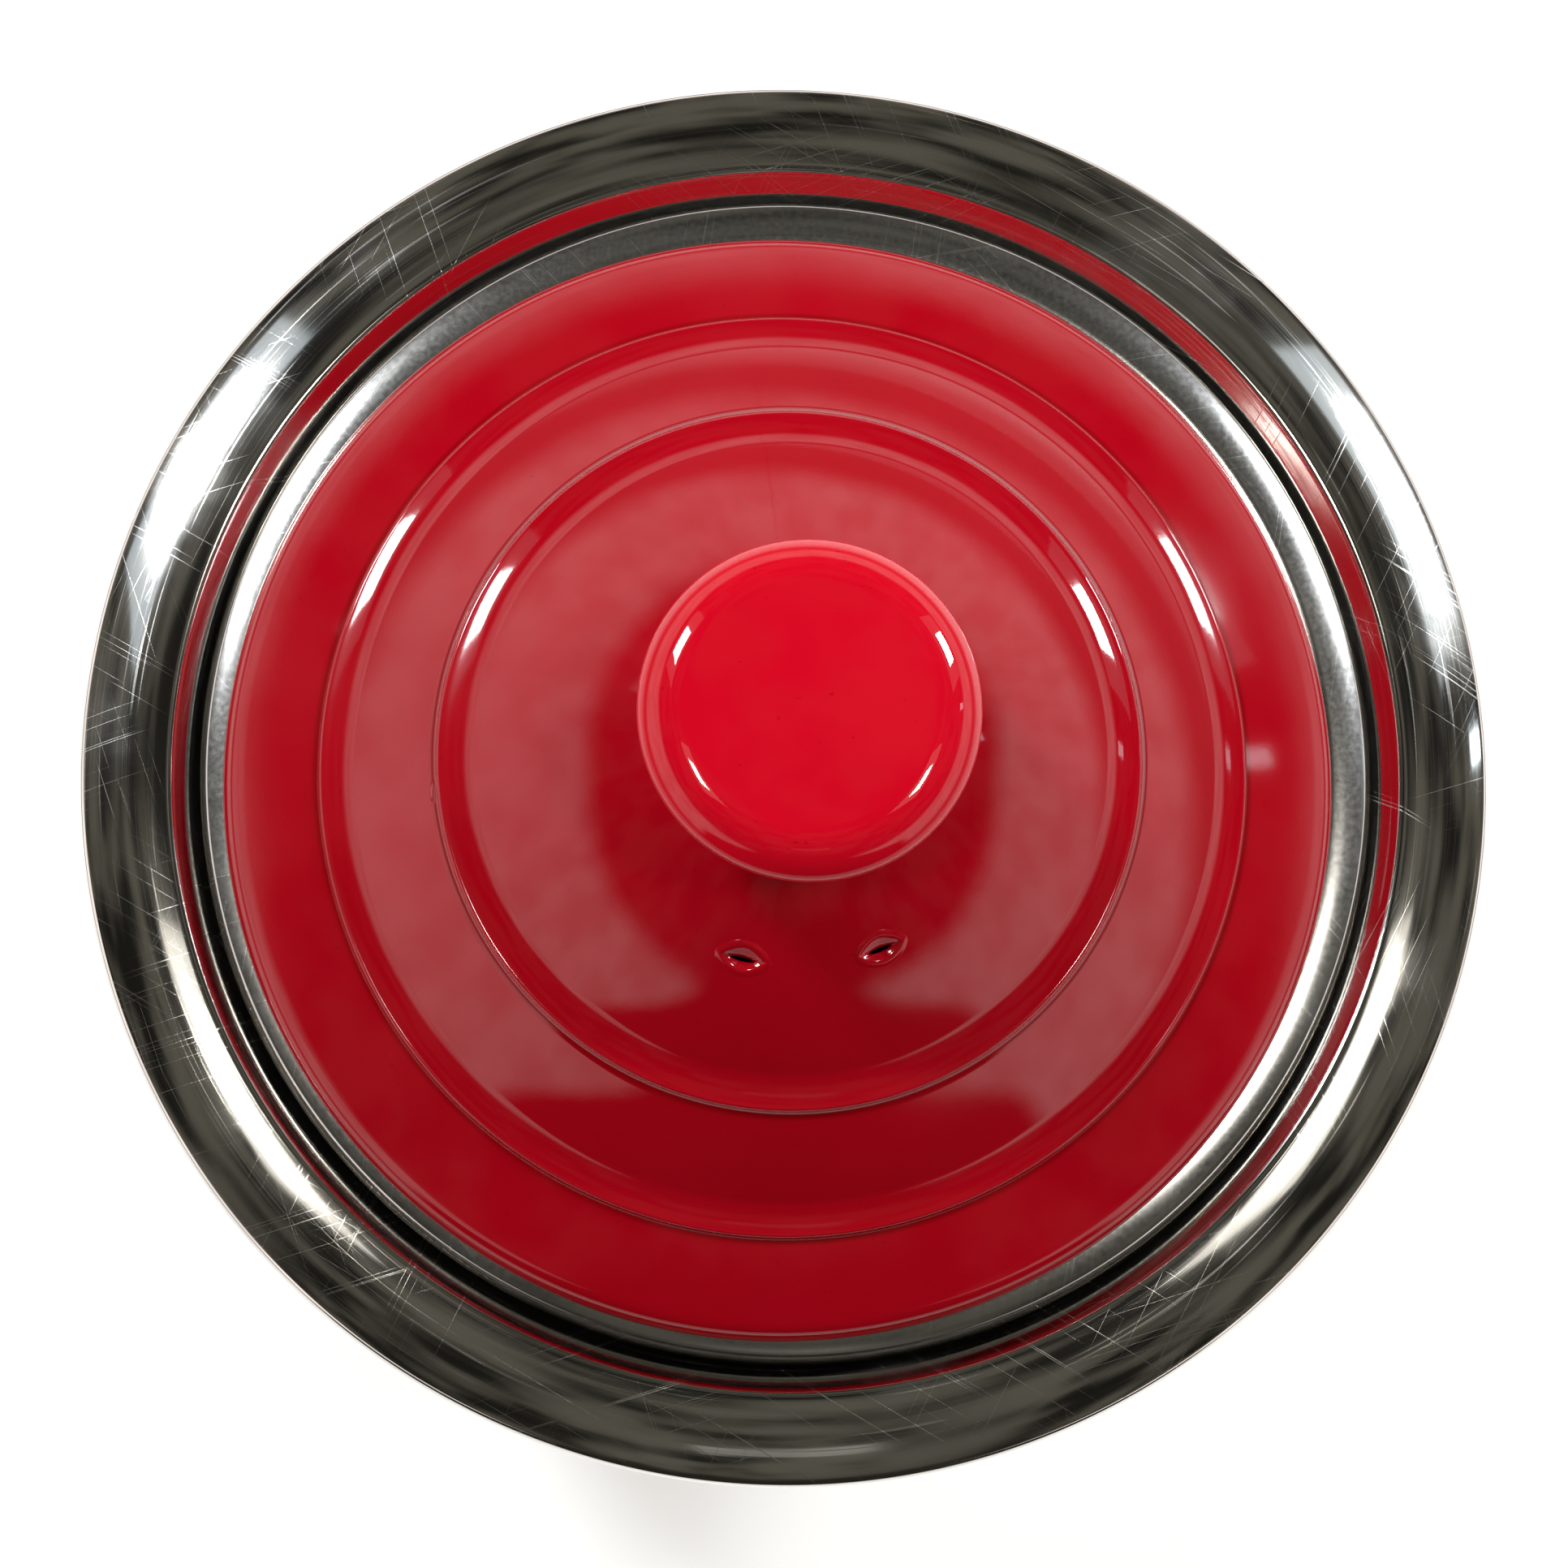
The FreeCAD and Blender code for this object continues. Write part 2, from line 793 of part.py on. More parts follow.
def make_lid():
    wall = cell("lid_wall")
    edge = cell("lid_radius")
    seat = cell("lid_seat")
    outer = cell("outer_step_radius")
    outer_height = cell("outer_step_height")
    inner = cell("inner_step_radius")
    inner_height = cell("inner_step_height")
    riser = cell("step_riser")
    apex = cell("apex_radius")
    top = cell("apex_height")
    bore = cell("lid_bore")
    outline = [(bore, top), (bore, top - wall), (apex - 1.0, top - wall)]
    outline += reversed(lid_underside())
    roll = cell("lid_roll")
    brow = math.radians(25.0)
    lip = 1.2
    outline += [
        (edge - lip, seat),
        (edge, seat + lip, lip),
        (edge - roll * (1.0 - math.sin(brow)), seat + lip + roll * math.cos(brow), roll),
    ]
    outline += [(outer + 0.35, outer_height - riser, 220.0)] + lid_step(outer, outer_height)
    outline += [(inner + 0.35, inner_height - riser, 150.0)] + lid_step(inner, inner_height)
    outline += [(apex, top, 120.0)]
    body = turned("lid_dome", outline)
    vent = new_sketch(body, "vent", "XY_Plane")
    spread = DIMENSIONS["vent_spread"]
    vent.AttachmentOffset = Placement(Vector(0, 0, 0), Rotation(Vector(0, 0, 1), -0.5 * spread))
    half = (cell("vent_length") - cell("vent_width")) * 0.5
    round_end = cell("vent_width") * 0.5
    middle = -cell("vent_radius")
    draw(
        vent,
        [
            (-half, middle - round_end, round_end * 1.02),
            (half, middle - round_end),
            (half, middle + round_end, round_end * 1.02),
            (-half, middle + round_end),
        ],
    )
    pocket = cut_through(body, vent, "lid_dome_vent", backwards=True)
    pattern = body.newObject("PartDesign::PolarPattern", "lid_dome_vents")
    pattern.Originals = [pocket]
    pattern.Axis = (vent, ["N_Axis"])
    bind(pattern, "Angle", cell("vent_spread"))
    pattern.Occurrences = 2
    body.Tip = pattern
    place_with_lid(body)


def make_skirt():
    """The lid's locating ring: a thin wall inside the drum, with a flange under the lid."""
    radius = cell("skirt_radius")
    base = cell("skirt_base")
    (edge, edge_height), (haunch, haunch_height), _ = lid_underside()
    slope = (haunch_height - edge_height) / (edge - haunch)
    meet = edge_height + (edge - radius) * slope
    flange = cell("skirt_flange")
    face = [
        (radius - 1.8, base),
        (radius - 1.0, base),
        (radius, base + 1.0, 1.0),
        (radius, meet),
        (radius - flange, meet + flange * slope),
    ]
    place_with_lid(turned("lid_skirt", sheet_section(face, cell("skirt_sheet"))))


def make_lid_bush():
    bore = cell("shaft_radius") + cell("running_fit")
    barrel = cell("lid_bore")
    top = cell("apex_height")
    base = cell("lid_bush_base")
    flange = cell("lid_bush_flange")
    lip = top + cell("lid_bush_lip")
    outline = [
        (bore, base),
        (barrel - 0.6, base),
        (barrel, base + 0.6),
        (barrel, top),
        (flange, top),
        (flange, lip),
        (bore, lip),
    ]
    place_with_lid(turned("lid_bush", outline))
    washer_top = top - cell("lid_wall")
    washer_base = washer_top - cell("washer_sheet")
    place_with_lid(ring("lid_bush_washer", barrel, cell("washer_radius"), washer_base, washer_top))
    blank = doc.addObject("Part::Prism", "bush_nut_blank")
    blank.Polygon = 6
    bind(blank, "Circumradius", cell("nut_flats") / math.sqrt(3.0))
    bind(blank, "Height", cell("nut_height"))
    thread = doc.addObject("Part::Cylinder", "bush_nut_thread")
    bind(thread, "Radius", barrel)
    bind(thread, "Height", cell("nut_height"))
    nut = doc.addObject("Part::Cut", "lid_bush_nut")
    nut.Label = "lid_bush_nut"
    nut.Base = blank
    nut.Tool = thread
    place_with_lid(nut)
    bind(nut, "Placement.Base.z", washer_base - cell("nut_height"))
    pieces.append(nut)


# ---- knob and its shaft ----


def knob_base():
    collar_base = cell("apex_height") + cell("lid_bush_lip") + cell("knob_gap")
    return collar_base + cell("knob_collar_sheet")


def make_knob():
    """A spool-shaped knob: a nearly flat crown, a broad shoulder, a rounded rim and a waist."""
    radius = cell("knob_radius")
    edge = cell("knob_edge")
    base = knob_base()
    bore = cell("insert_radius")
    insert_top = base + cell("insert_height")
    crown = math.radians(4.0)
    steep = math.radians(52.0)
    under = math.radians(75.0)
    centre_flat = 1.5
    shoulder = cell("knob_shoulder_arc")
    crown_radius = cell("knob_crown_radius")
    shoulder_end = crown_radius + shoulder * (math.sin(steep) - math.sin(crown))
    rim_arc = (radius - shoulder_end) / (1.0 - math.sin(steep))
    shoulder_height = edge + rim_arc * math.cos(steep)
    crown_height = shoulder_height + shoulder * (math.cos(crown) - math.cos(steep))
    crown_arc = crown_radius / math.sin(crown)
    top = crown_height + crown_arc * (1.0 - math.cos(crown))
    under_arc = cell("knob_under_arc")
    flare_end = radius - under_arc * (1.0 - math.cos(under))
    flare_height = edge - under_arc * math.sin(under)
    flare = cell("knob_flare_arc")
    waist_height = flare_height - flare * math.sin(under)
    waist = flare_end - flare * (1.0 - math.cos(under))
    foot_rise = base.value + 0.5 - waist_height.value
    start = waist + (flare.value - math.sqrt(flare.value**2 - foot_rise**2))
    outline = [
        (bore, base),
        (start + 0.4, base),
        (start, base + 0.5),
        (flare_end, flare_height, -flare),
        (radius, edge, under_arc),
        (shoulder_end, shoulder_height, rim_arc),
        (crown_radius, crown_height, shoulder),
        (centre_flat, top, crown_arc),
        (0.0, top),
        (0.0, insert_top),
        (bore, insert_top),
    ]
    place_with_lid(turned("knob", outline))
    shaft = cell("shaft_radius")
    collar_base = base - cell("knob_collar_sheet")
    place_with_lid(ring("knob_collar", shaft, cell("knob_collar_radius"), collar_base, base))
    place_with_lid(ring("knob_insert", shaft, bore, base, insert_top))


def make_knob_shaft():
    """The knob's shaft, with a tongue at its foot that lies along the drive cup's slot."""
    radius = cell("shaft_radius")
    base = cell("tongue_base")
    shoulder = base + cell("tongue_height")
    washer_top = cell("lid_bush_base") - cell("axial_play")
    clip_top = washer_top - cell("washer_sheet")
    clip_base = clip_top - cell("clip_sheet")
    top = knob_base() + cell("insert_height")
    body = turned(
        "knob_shaft",
        [
            (0.0, shoulder - 3.0),
            (radius, shoulder - 3.0),
            (radius, clip_base),
            (groove_radius(), clip_base),
            (groove_radius(), clip_top),
            (radius, clip_top),
            (radius, top),
            (0.0, top),
        ],
    )
    blade = new_sketch(body, "tongue")
    half = cell("tongue_width") * 0.5
    draw(
        blade,
        [
            (-half, base + 1.5),
            (-half + 1.5, base),
            (half - 1.5, base),
            (half, base + 1.5),
            (half, shoulder - 3.6),
            (radius - 0.2, shoulder),
            (-radius + 0.2, shoulder),
            (-half, shoulder - 3.6),
        ],
    )
    doc.recompute()
    tongue = body.newObject("PartDesign::Pad", "knob_shaft_tongue")
    tongue.Profile = blade
    tongue.Midplane = True
    bind(tongue, "Length", cell("tongue_sheet"))
    place_with_lid(body, 0.0)
    bore = radius + cell("running_fit")
    place_with_lid(ring("knob_washer", bore, cell("small_washer_radius"), clip_top, washer_top))
    place_with_lid(ring("knob_shaft_clip", groove_radius(), cell("clip_radius"), clip_base, clip_top))


# ---- the whole object ----


def check_pieces():
    for item in doc.Objects:
        if "Invalid" in item.State or "Error" in item.State:
            raise RuntimeError(f"{item.Label} failed: {item.State}")
    for item in pieces:
        if item.Shape.isNull() or not item.Shape.isValid() or not item.Shape.Solids:
            raise RuntimeError(f"{item.Label} has no valid solid")


fill_sheet()
make_tray()
make_drum()
make_rim()
make_screen()
make_bridge()
make_rivets()
make_lower_bearing()
make_agitator_shaft()
make_agitator_hub()
make_agitator_arms()
make_lump_breakers()
make_drive_cup()
make_lid()
make_skirt()
make_lid_bush()
make_knob()
make_knob_shaft()
doc.recompute()
check_pieces()
os.makedirs("parts", exist_ok=True)
for item in pieces:
    item.Shape.exportStep(f"parts/{item.Label}.step")
    print(f"{item.Label}: {item.Shape.Volume:.0f} mm3")
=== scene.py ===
import bpy
import bmesh
import math
from mathutils import Matrix, Vector


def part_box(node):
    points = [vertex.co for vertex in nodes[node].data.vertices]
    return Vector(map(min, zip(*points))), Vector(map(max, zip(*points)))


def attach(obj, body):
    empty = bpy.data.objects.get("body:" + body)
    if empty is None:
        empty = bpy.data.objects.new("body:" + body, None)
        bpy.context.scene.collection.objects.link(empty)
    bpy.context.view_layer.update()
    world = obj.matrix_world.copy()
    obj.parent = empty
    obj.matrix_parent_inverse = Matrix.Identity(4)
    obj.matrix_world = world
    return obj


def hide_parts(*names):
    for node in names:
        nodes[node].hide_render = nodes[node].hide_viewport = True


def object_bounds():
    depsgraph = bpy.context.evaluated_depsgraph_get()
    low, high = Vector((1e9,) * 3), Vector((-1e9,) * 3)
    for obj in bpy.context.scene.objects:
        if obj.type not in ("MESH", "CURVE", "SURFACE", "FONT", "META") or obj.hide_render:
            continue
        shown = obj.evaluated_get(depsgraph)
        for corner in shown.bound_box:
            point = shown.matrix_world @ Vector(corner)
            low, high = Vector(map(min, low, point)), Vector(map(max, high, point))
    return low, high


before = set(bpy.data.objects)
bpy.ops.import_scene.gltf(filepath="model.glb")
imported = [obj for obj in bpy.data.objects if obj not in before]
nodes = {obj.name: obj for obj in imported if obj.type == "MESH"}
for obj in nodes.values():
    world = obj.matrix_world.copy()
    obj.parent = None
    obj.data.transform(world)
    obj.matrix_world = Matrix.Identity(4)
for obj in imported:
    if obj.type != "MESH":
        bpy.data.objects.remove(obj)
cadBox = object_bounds()
mm = 0.001
print("frame loaded:", len(nodes), "nodes")


# ---- camera ----

cameraSettings = {
    "place": (-24.4, -58.0, 442.2),  # mm from the middle of the foot
    "lens": 54.26,
    "lean": (3.48, -1.12),  # degrees about x, then y
    "shift": (0.073, 0.152),
}


def makeCamera(settings):
    data = bpy.data.cameras.new("overheadCamera")
    data.lens = settings["lens"]
    data.sensor_width = 36.0
    data.shift_x, data.shift_y = settings["shift"]
    data.clip_start = 0.01
    camera = bpy.data.objects.new("overheadCamera", data)
    leanX, leanY = (math.radians(a) for a in settings["lean"])
    turn = Matrix.Rotation(leanX, 4, "X") @ Matrix.Rotation(leanY, 4, "Y")
    camera.matrix_world = Matrix.Translation(Vector(settings["place"]) * mm) @ turn
    bpy.context.scene.collection.objects.link(camera)
    bpy.context.scene.camera = camera


makeCamera(cameraSettings)


# ---- small helpers for node trees ----

def put(tree, kind, **settings):
    node = tree.nodes.new(kind)
    for key, value in settings.items():
        setattr(node, key, value)
    return node


def feed(tree, socket, value):
    if isinstance(value, bpy.types.NodeSocket):
        tree.links.new(value, socket)
    else:
        socket.default_value = value


def sums(tree, operation, *values):
    node = put(tree, "ShaderNodeMath", operation=operation)
    for socket, value in zip(node.inputs, values):
        feed(tree, socket, value)
    return node.outputs[0]


def blendColour(tree, amount, first, second, mode="MIX"):
    node = put(tree, "ShaderNodeMix", data_type="RGBA", blend_type=mode)
    feed(tree, node.inputs["Factor"], amount)
    for name, value in (("A", first), ("B", second)):
        socket = next(s for s in node.inputs if s.name == name and s.type == "RGBA")
        feed(tree, socket, value if isinstance(value, bpy.types.NodeSocket) else (*value, 1.0))
    return next(s for s in node.outputs if s.type == "RGBA")


def spread(tree, value, low, high, toLow=0.0, toHigh=1.0):
    node = put(tree, "ShaderNodeMapRange", interpolation_type="SMOOTHSTEP")
    for socket, number in zip(node.inputs, (value, low, high, toLow, toHigh)):
        feed(tree, socket, number)
    return node.outputs[0]


# ---- finishes ----

def startFinish(name):
    material = bpy.data.materials.new(name)
    material.use_nodes = True
    tree = material.node_tree
    shader = next(n for n in tree.nodes if n.type == "BSDF_PRINCIPLED")
    return material, tree, shader


def aboutAxis(tree, axis):
    coords = put(tree, "ShaderNodeTexCoord")
    centred = put(tree, "ShaderNodeMapping")
    feed(tree, centred.inputs["Vector"], coords.outputs["Object"])
    centred.inputs["Location"].default_value = (-axis[0] * mm, -axis[1] * mm, 0.0)
    return centred.outputs[0]


def cylinderCoords(tree, vector):
    split = put(tree, "ShaderNodeSeparateXYZ")
    feed(tree, split.inputs[0], vector)
    x, y, z = split.outputs
    radius = sums(tree, "SQRT", sums(tree, "ADD", sums(tree, "MULTIPLY", x, x), sums(tree, "MULTIPLY", y, y)))
    safe = sums(tree, "MAXIMUM", radius, 0.0001)
    return sums(tree, "DIVIDE", x, safe), sums(tree, "DIVIDE", y, safe), radius, z


def spunNoise(tree, axis, around, across, detail=2.0, depth=1.0):
    cosine, sine, radius, height = cylinderCoords(tree, aboutAxis(tree, axis))
    run = sums(tree, "MULTIPLY", sums(tree, "ADD", radius, sums(tree, "MULTIPLY", height, depth)), across)
    place = put(tree, "ShaderNodeCombineXYZ")
    feed(tree, place.inputs[0], sums(tree, "MULTIPLY", cosine, around))
    feed(tree, place.inputs[1], sums(tree, "MULTIPLY", sine, around))
    feed(tree, place.inputs[2], run)
    noise = put(tree, "ShaderNodeTexNoise")
    feed(tree, noise.inputs["Vector"], place.outputs[0])
    noise.inputs["Scale"].default_value = 1.0
    noise.inputs["Detail"].default_value = detail
    noise.inputs["Roughness"].default_value = 0.6
    return noise.outputs["Fac"]


def cloudNoise(tree, scale, detail=3.0, stretch=(1.0, 1.0, 1.0), turn=0.0, shove=0.0):
    coords = put(tree, "ShaderNodeTexCoord")
    mapping = put(tree, "ShaderNodeMapping", vector_type="TEXTURE")
    feed(tree, mapping.inputs["Vector"], coords.outputs["Object"])
    mapping.inputs["Rotation"].default_value = (0.0, 0.0, turn)
    mapping.inputs["Scale"].default_value = tuple(1.0 / v for v in stretch)
    mapping.inputs["Location"].default_value = (shove, shove * 0.7, shove * 0.3)
    noise = put(tree, "ShaderNodeTexNoise")
    feed(tree, noise.inputs["Vector"], mapping.outputs[0])
    noise.inputs["Scale"].default_value = scale
    noise.inputs["Detail"].default_value = detail
    return noise.outputs["Fac"]


def hairlines(tree, turns, length, fineness, low, high):
    total = 0.0
    for number, turn in enumerate(turns):
        line = cloudNoise(tree, 1.0, 0.0, (length, fineness, length), turn, 0.37 * (number + 1))
        patch = spread(tree, cloudNoise(tree, 28.0, 1.0, shove=1.9 * (number + 1)), 0.46, 0.6)
        mark = sums(tree, "MULTIPLY", spread(tree, line, low, high), patch)
        total = sums(tree, "MAXIMUM", total, mark)
    return total


def bumped(tree, shader, heights):
    last = None
    for height, distance in heights:
        bump = put(tree, "ShaderNodeBump")
        bump.inputs["Strength"].default_value = 1.0
        bump.inputs["Distance"].default_value = distance * mm
        feed(tree, bump.inputs["Height"], height)
        if last is not None:
            feed(tree, bump.inputs["Normal"], last)
        last = bump.outputs[0]
    feed(tree, shader.inputs["Normal"], last)


mirrorSteel = {
    "colour": (0.74, 0.72, 0.68),
    "smudged": (0.62, 0.60, 0.56),
    "gloss": 0.065,
    "smear": 0.10,
    "spinDepth": 0.0010,  # mm, fine rings left by the spinning lathe
    "waveDepth": 0.0022,
    "dentDepth": 0.02,
    "scratchTurns": (0.3, 1.1, 1.9, 2.6),
}


def makeMirrorSteel(settings, name="mirrorSteel"):
    material, tree, shader = startFinish(name)
    shader.inputs["Metallic"].default_value = 1.0
    smear = spread(tree, cloudNoise(tree, 34.0, 4.0), 0.5, 0.78)
    scratch = hairlines(tree, settings["scratchTurns"], 30.0, 6000.0, 0.76, 0.80)
    rings = spunNoise(tree, (0, 0), 1.6, 5200.0, 1.0)
    swirl = spread(tree, spunNoise(tree, (0, 0), 3.2, 2600.0, 0.0), 0.70, 0.80)
    rough = sums(tree, "ADD", sums(tree, "MULTIPLY", smear, settings["smear"]), settings["gloss"])
    rough = sums(tree, "ADD", rough, sums(tree, "MULTIPLY", scratch, 0.14))
    rough = sums(tree, "ADD", rough, sums(tree, "MULTIPLY", spread(tree, rings, 0.5, 0.75), 0.04))
    rough = sums(tree, "ADD", rough, sums(tree, "MULTIPLY", swirl, 0.10))
    feed(tree, shader.inputs["Roughness"], rough)
    colour = blendColour(tree, sums(tree, "MULTIPLY", smear, 0.5), settings["colour"], settings["smudged"])
    feed(tree, shader.inputs["Base Color"], colour)
    wave = spunNoise(tree, (0, 0), 1.1, 850.0, 2.0)
    dent = cloudNoise(tree, 60.0, 1.0, shove=0.6)
    heights = [(dent, settings["dentDepth"]), (rings, settings["spinDepth"]), (wave, settings["waveDepth"])]
    bumped(tree, shader, heights + [(scratch, 0.0006)])
    return material


spunSteel = {
    "colour": (0.60, 0.59, 0.57),
    "dulled": (0.47, 0.46, 0.44),
    "gloss": 0.24,
    "grainDepth": 0.004,
}


def makeSpunSteel(settings, name="spunSteel", polishFrom=None):
    material, tree, shader = startFinish(name)
    shader.inputs["Metallic"].default_value = 1.0
    grain = spunNoise(tree, (0, 0), 3.0, 4200.0, 3.0)
    coarse = spunNoise(tree, (0, 0), 1.2, 700.0, 2.0)
    smear = spread(tree, cloudNoise(tree, 22.0, 4.0), 0.48, 0.72)
    scratch = hairlines(tree, (0.2, 1.4, 2.3), 18.0, 3600.0, 0.74, 0.79)
    rough = sums(tree, "ADD", settings["gloss"], sums(tree, "MULTIPLY", coarse, 0.14))
    rough = sums(tree, "ADD", rough, sums(tree, "MULTIPLY", smear, 0.1))
    depth = settings["grainDepth"]
    if polishFrom is not None:
        height = cylinderCoords(tree, aboutAxis(tree, (0, 0)))[3]
        polish = spread(tree, height, polishFrom * mm, (polishFrom + 1.2) * mm)
        fine = sums(tree, "MULTIPLY", cloudNoise(tree, 1300.0, 2.0), 0.10)
        glossy = sums(tree, "ADD", fine, sums(tree, "ADD", 0.13, sums(tree, "MULTIPLY", smear, 0.06)))
        keep = sums(tree, "SUBTRACT", 1.0, polish)
        rough = sums(tree, "ADD", sums(tree, "MULTIPLY", rough, keep), sums(tree, "MULTIPLY", glossy, polish))
        grain = sums(tree, "MULTIPLY", grain, sums(tree, "ADD", sums(tree, "MULTIPLY", keep, 0.85), 0.15))
    feed(tree, shader.inputs["Roughness"], sums(tree, "ADD", rough, sums(tree, "MULTIPLY", scratch, 0.06)))
    tone = sums(tree, "MULTIPLY", spread(tree, coarse, 0.35, 0.75), 0.6)
    feed(tree, shader.inputs["Base Color"], blendColour(tree, tone, settings["colour"], settings["dulled"]))
    bumped(tree, shader, [(grain, depth), (scratch, 0.0008)])
    return material


redEnamel = {
    "colour": (0.31, 0.0008, 0.0062),
    # darker red, used for the painted shade at the step feet and for the random specks
    "shadeAndSpeckRed": (0.20, 0.0004, 0.002),
    "thin": (0.34, 0.0018, 0.0092),
    "gloss": 0.075,
    "peelDepth": 0.004,
    "swellDepth": 0.03,
    "gritDepth": 0.0011,
    "shadedSteps": ((66.6, 0.8), (49.1, 0.8)),  # radius and width in mm of the painted shade rings at the foot of each step
}


def makeRedEnamel(settings, axis, name="redEnamel", flaws=()):
    material, tree, shader = startFinish(name)
    shader.inputs["IOR"].default_value = 1.5
    shader.inputs["Specular IOR Level"].default_value = 0.5
    mottle = spread(tree, cloudNoise(tree, 55.0, 5.0), 0.3, 0.75)
    grit = cloudNoise(tree, 1500.0, 1.0, shove=0.4)
    radius = cylinderCoords(tree, aboutAxis(tree, axis))[2]
    # painted shade: a darker ring at the foot of each step, standing in for the shade in the crease there
    stepShade = 0.0
    for foot, width in settings["shadedSteps"]:
        gap = sums(tree, "ABSOLUTE", sums(tree, "SUBTRACT", radius, foot * mm))
        stepShade = sums(tree, "MAXIMUM", stepShade, spread(tree, gap, 0.0, width * mm, 1.0, 0.0))
    colour = blendColour(tree, sums(tree, "MULTIPLY", mottle, 0.5), settings["colour"], settings["thin"])
    colour = blendColour(tree, sums(tree, "MULTIPLY", stepShade, 0.8), colour, settings["shadeAndSpeckRed"])
    specks = spread(tree, cloudNoise(tree, 1500.0, 0.0, shove=2.2), 0.81, 0.85)
    colour = blendColour(tree, sums(tree, "MULTIPLY", specks, 0.45), colour, settings["shadeAndSpeckRed"])
    feed(tree, shader.inputs["Base Color"], colour)
    cloud, gloss = cloudNoise(tree, 18.0, 3.0, shove=0.9), settings["gloss"]
    haze = spread(tree, cloud, 0.35, 0.7, gloss - 0.03, gloss + 0.04)
    feed(tree, shader.inputs["Roughness"], haze)
    peel = cloudNoise(tree, 420.0, 2.0)
    swell = cloudNoise(tree, 46.0, 1.0, shove=0.2)
    heights = [(peel, settings["peelDepth"]), (swell, settings["swellDepth"]), (grit, settings["gritDepth"])]
    for place, size, rise in flaws:
        coords = put(tree, "ShaderNodeTexCoord")
        local = put(tree, "ShaderNodeMapping", vector_type="TEXTURE")
        feed(tree, local.inputs["Vector"], coords.outputs["Object"])
        local.inputs["Location"].default_value = tuple(v * mm for v in place)
        local.inputs["Scale"].default_value = tuple(v * mm for v in size)
        reach = put(tree, "ShaderNodeVectorMath", operation="LENGTH")
        feed(tree, reach.inputs[0], local.outputs[0])
        heights.append((spread(tree, reach.outputs["Value"], 0.1, 1.0, 1.0, 0.0), rise))
    bumped(tree, shader, heights)
    return material


plainMetals = {
    "satinSteel": {"colour": (0.55, 0.54, 0.52), "worn": (0.42, 0.41, 0.39), "gloss": 0.28, "grain": 0.006},
    "turnedBrass": {"colour": (0.74, 0.52, 0.24), "worn": (0.48, 0.33, 0.15), "gloss": 0.24, "grain": 0.008},
    "screenWire": {"colour": (0.62, 0.61, 0.58), "worn": (0.44, 0.43, 0.41), "gloss": 0.26, "grain": 0.004},
}


def makePlainMetal(name):
    settings = plainMetals[name]
    material, tree, shader = startFinish(name)
    shader.inputs["Metallic"].default_value = 1.0
    wear = spread(tree, cloudNoise(tree, 140.0, 4.0), 0.42, 0.7)
    grain = spunNoise(tree, (0, 0), 9.0, 2600.0, 2.0)
    feed(tree, shader.inputs["Base Color"], blendColour(tree, wear, settings["colour"], settings["worn"]))
    rough = sums(tree, "ADD", settings["gloss"], sums(tree, "MULTIPLY", wear, 0.18))
    feed(tree, shader.inputs["Roughness"], rough)
    bumped(tree, shader, [(grain, settings["grain"]), (cloudNoise(tree, 900.0, 2.0), 0.004)])
    return material


sealRubber = {"colour": (0.33, 0.32, 0.30), "dusty": (0.45, 0.44, 0.41), "gloss": 0.62}


def makeSealRubber(settings):
    material, tree, shader = startFinish("sealRubber")
    dust = spread(tree, cloudNoise(tree, 160.0, 5.0), 0.45, 0.75)
    feed(tree, shader.inputs["Base Color"], blendColour(tree, dust, settings["colour"], settings["dusty"]))
    rough = sums(tree, "ADD", settings["gloss"], sums(tree, "MULTIPLY", dust, 0.2))
    feed(tree, shader.inputs["Roughness"], rough)
    bumped(tree, shader, [(cloudNoise(tree, 2200.0, 3.0), 0.02)])
    return material


def middle(node):
    low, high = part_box(node)
    return (low + high) / 2


lidAxis = tuple(v / mm for v in middle("knob")[:2])
lidFlaws = (
    ((-50.5, -6.7, 119.9), (0.6, 1.8, 2.5), 0.10),  # a run of glaze below the inner step
    ((-35.7, -3.5, 127.3), (0.35, 0.5, 2.5), -0.10),  # a pin hole
)
knobGlaze = dict(redEnamel, colour=(0.50, 0.0016, 0.0115), thin=(0.54, 0.0028, 0.0145), shadedSteps=(), gloss=0.055)
finishes = {
    "polished_steel": makeMirrorSteel(mirrorSteel),
    "brushed_steel": makeSpunSteel(spunSteel),
    "woven_wire": makePlainMetal("screenWire"),
    "plain_steel": makePlainMetal("satinSteel"),
    "brass": makePlainMetal("turnedBrass"),
    "seal_rubber": makeSealRubber(sealRubber),
    "red_enamel": makeRedEnamel(redEnamel, lidAxis, flaws=lidFlaws),
    "red_glaze": makeRedEnamel(knobGlaze, lidAxis, "redGlaze"),
}
drumFinish = makeSpunSteel(spunSteel, "drumSteel", polishFrom=89.0)
for nodeName, node in nodes.items():
    for place, old in enumerate(node.data.materials):
        slotName = old.name.split(".")[0]
        if slotName in finishes:
            node.data.materials[place] = finishes[slotName]
        else:
            print("no finish for", nodeName, old.name)
print("finishes made:", len(finishes) + 1)


# ---- turned pieces ----

def newTree(name, inputs):
    tree = bpy.data.node_groups.new(name, "GeometryNodeTree")
    tree.interface.new_socket(name="Geometry", in_out="INPUT", socket_type="NodeSocketGeometry")
    for label, kind in inputs:
        tree.interface.new_socket(name=label, in_out="INPUT", socket_type="NodeSocket" + kind)
    tree.interface.new_socket(name="Geometry", in_out="OUTPUT", socket_type="NodeSocketGeometry")
    return tree, put(tree, "NodeGroupInput").outputs


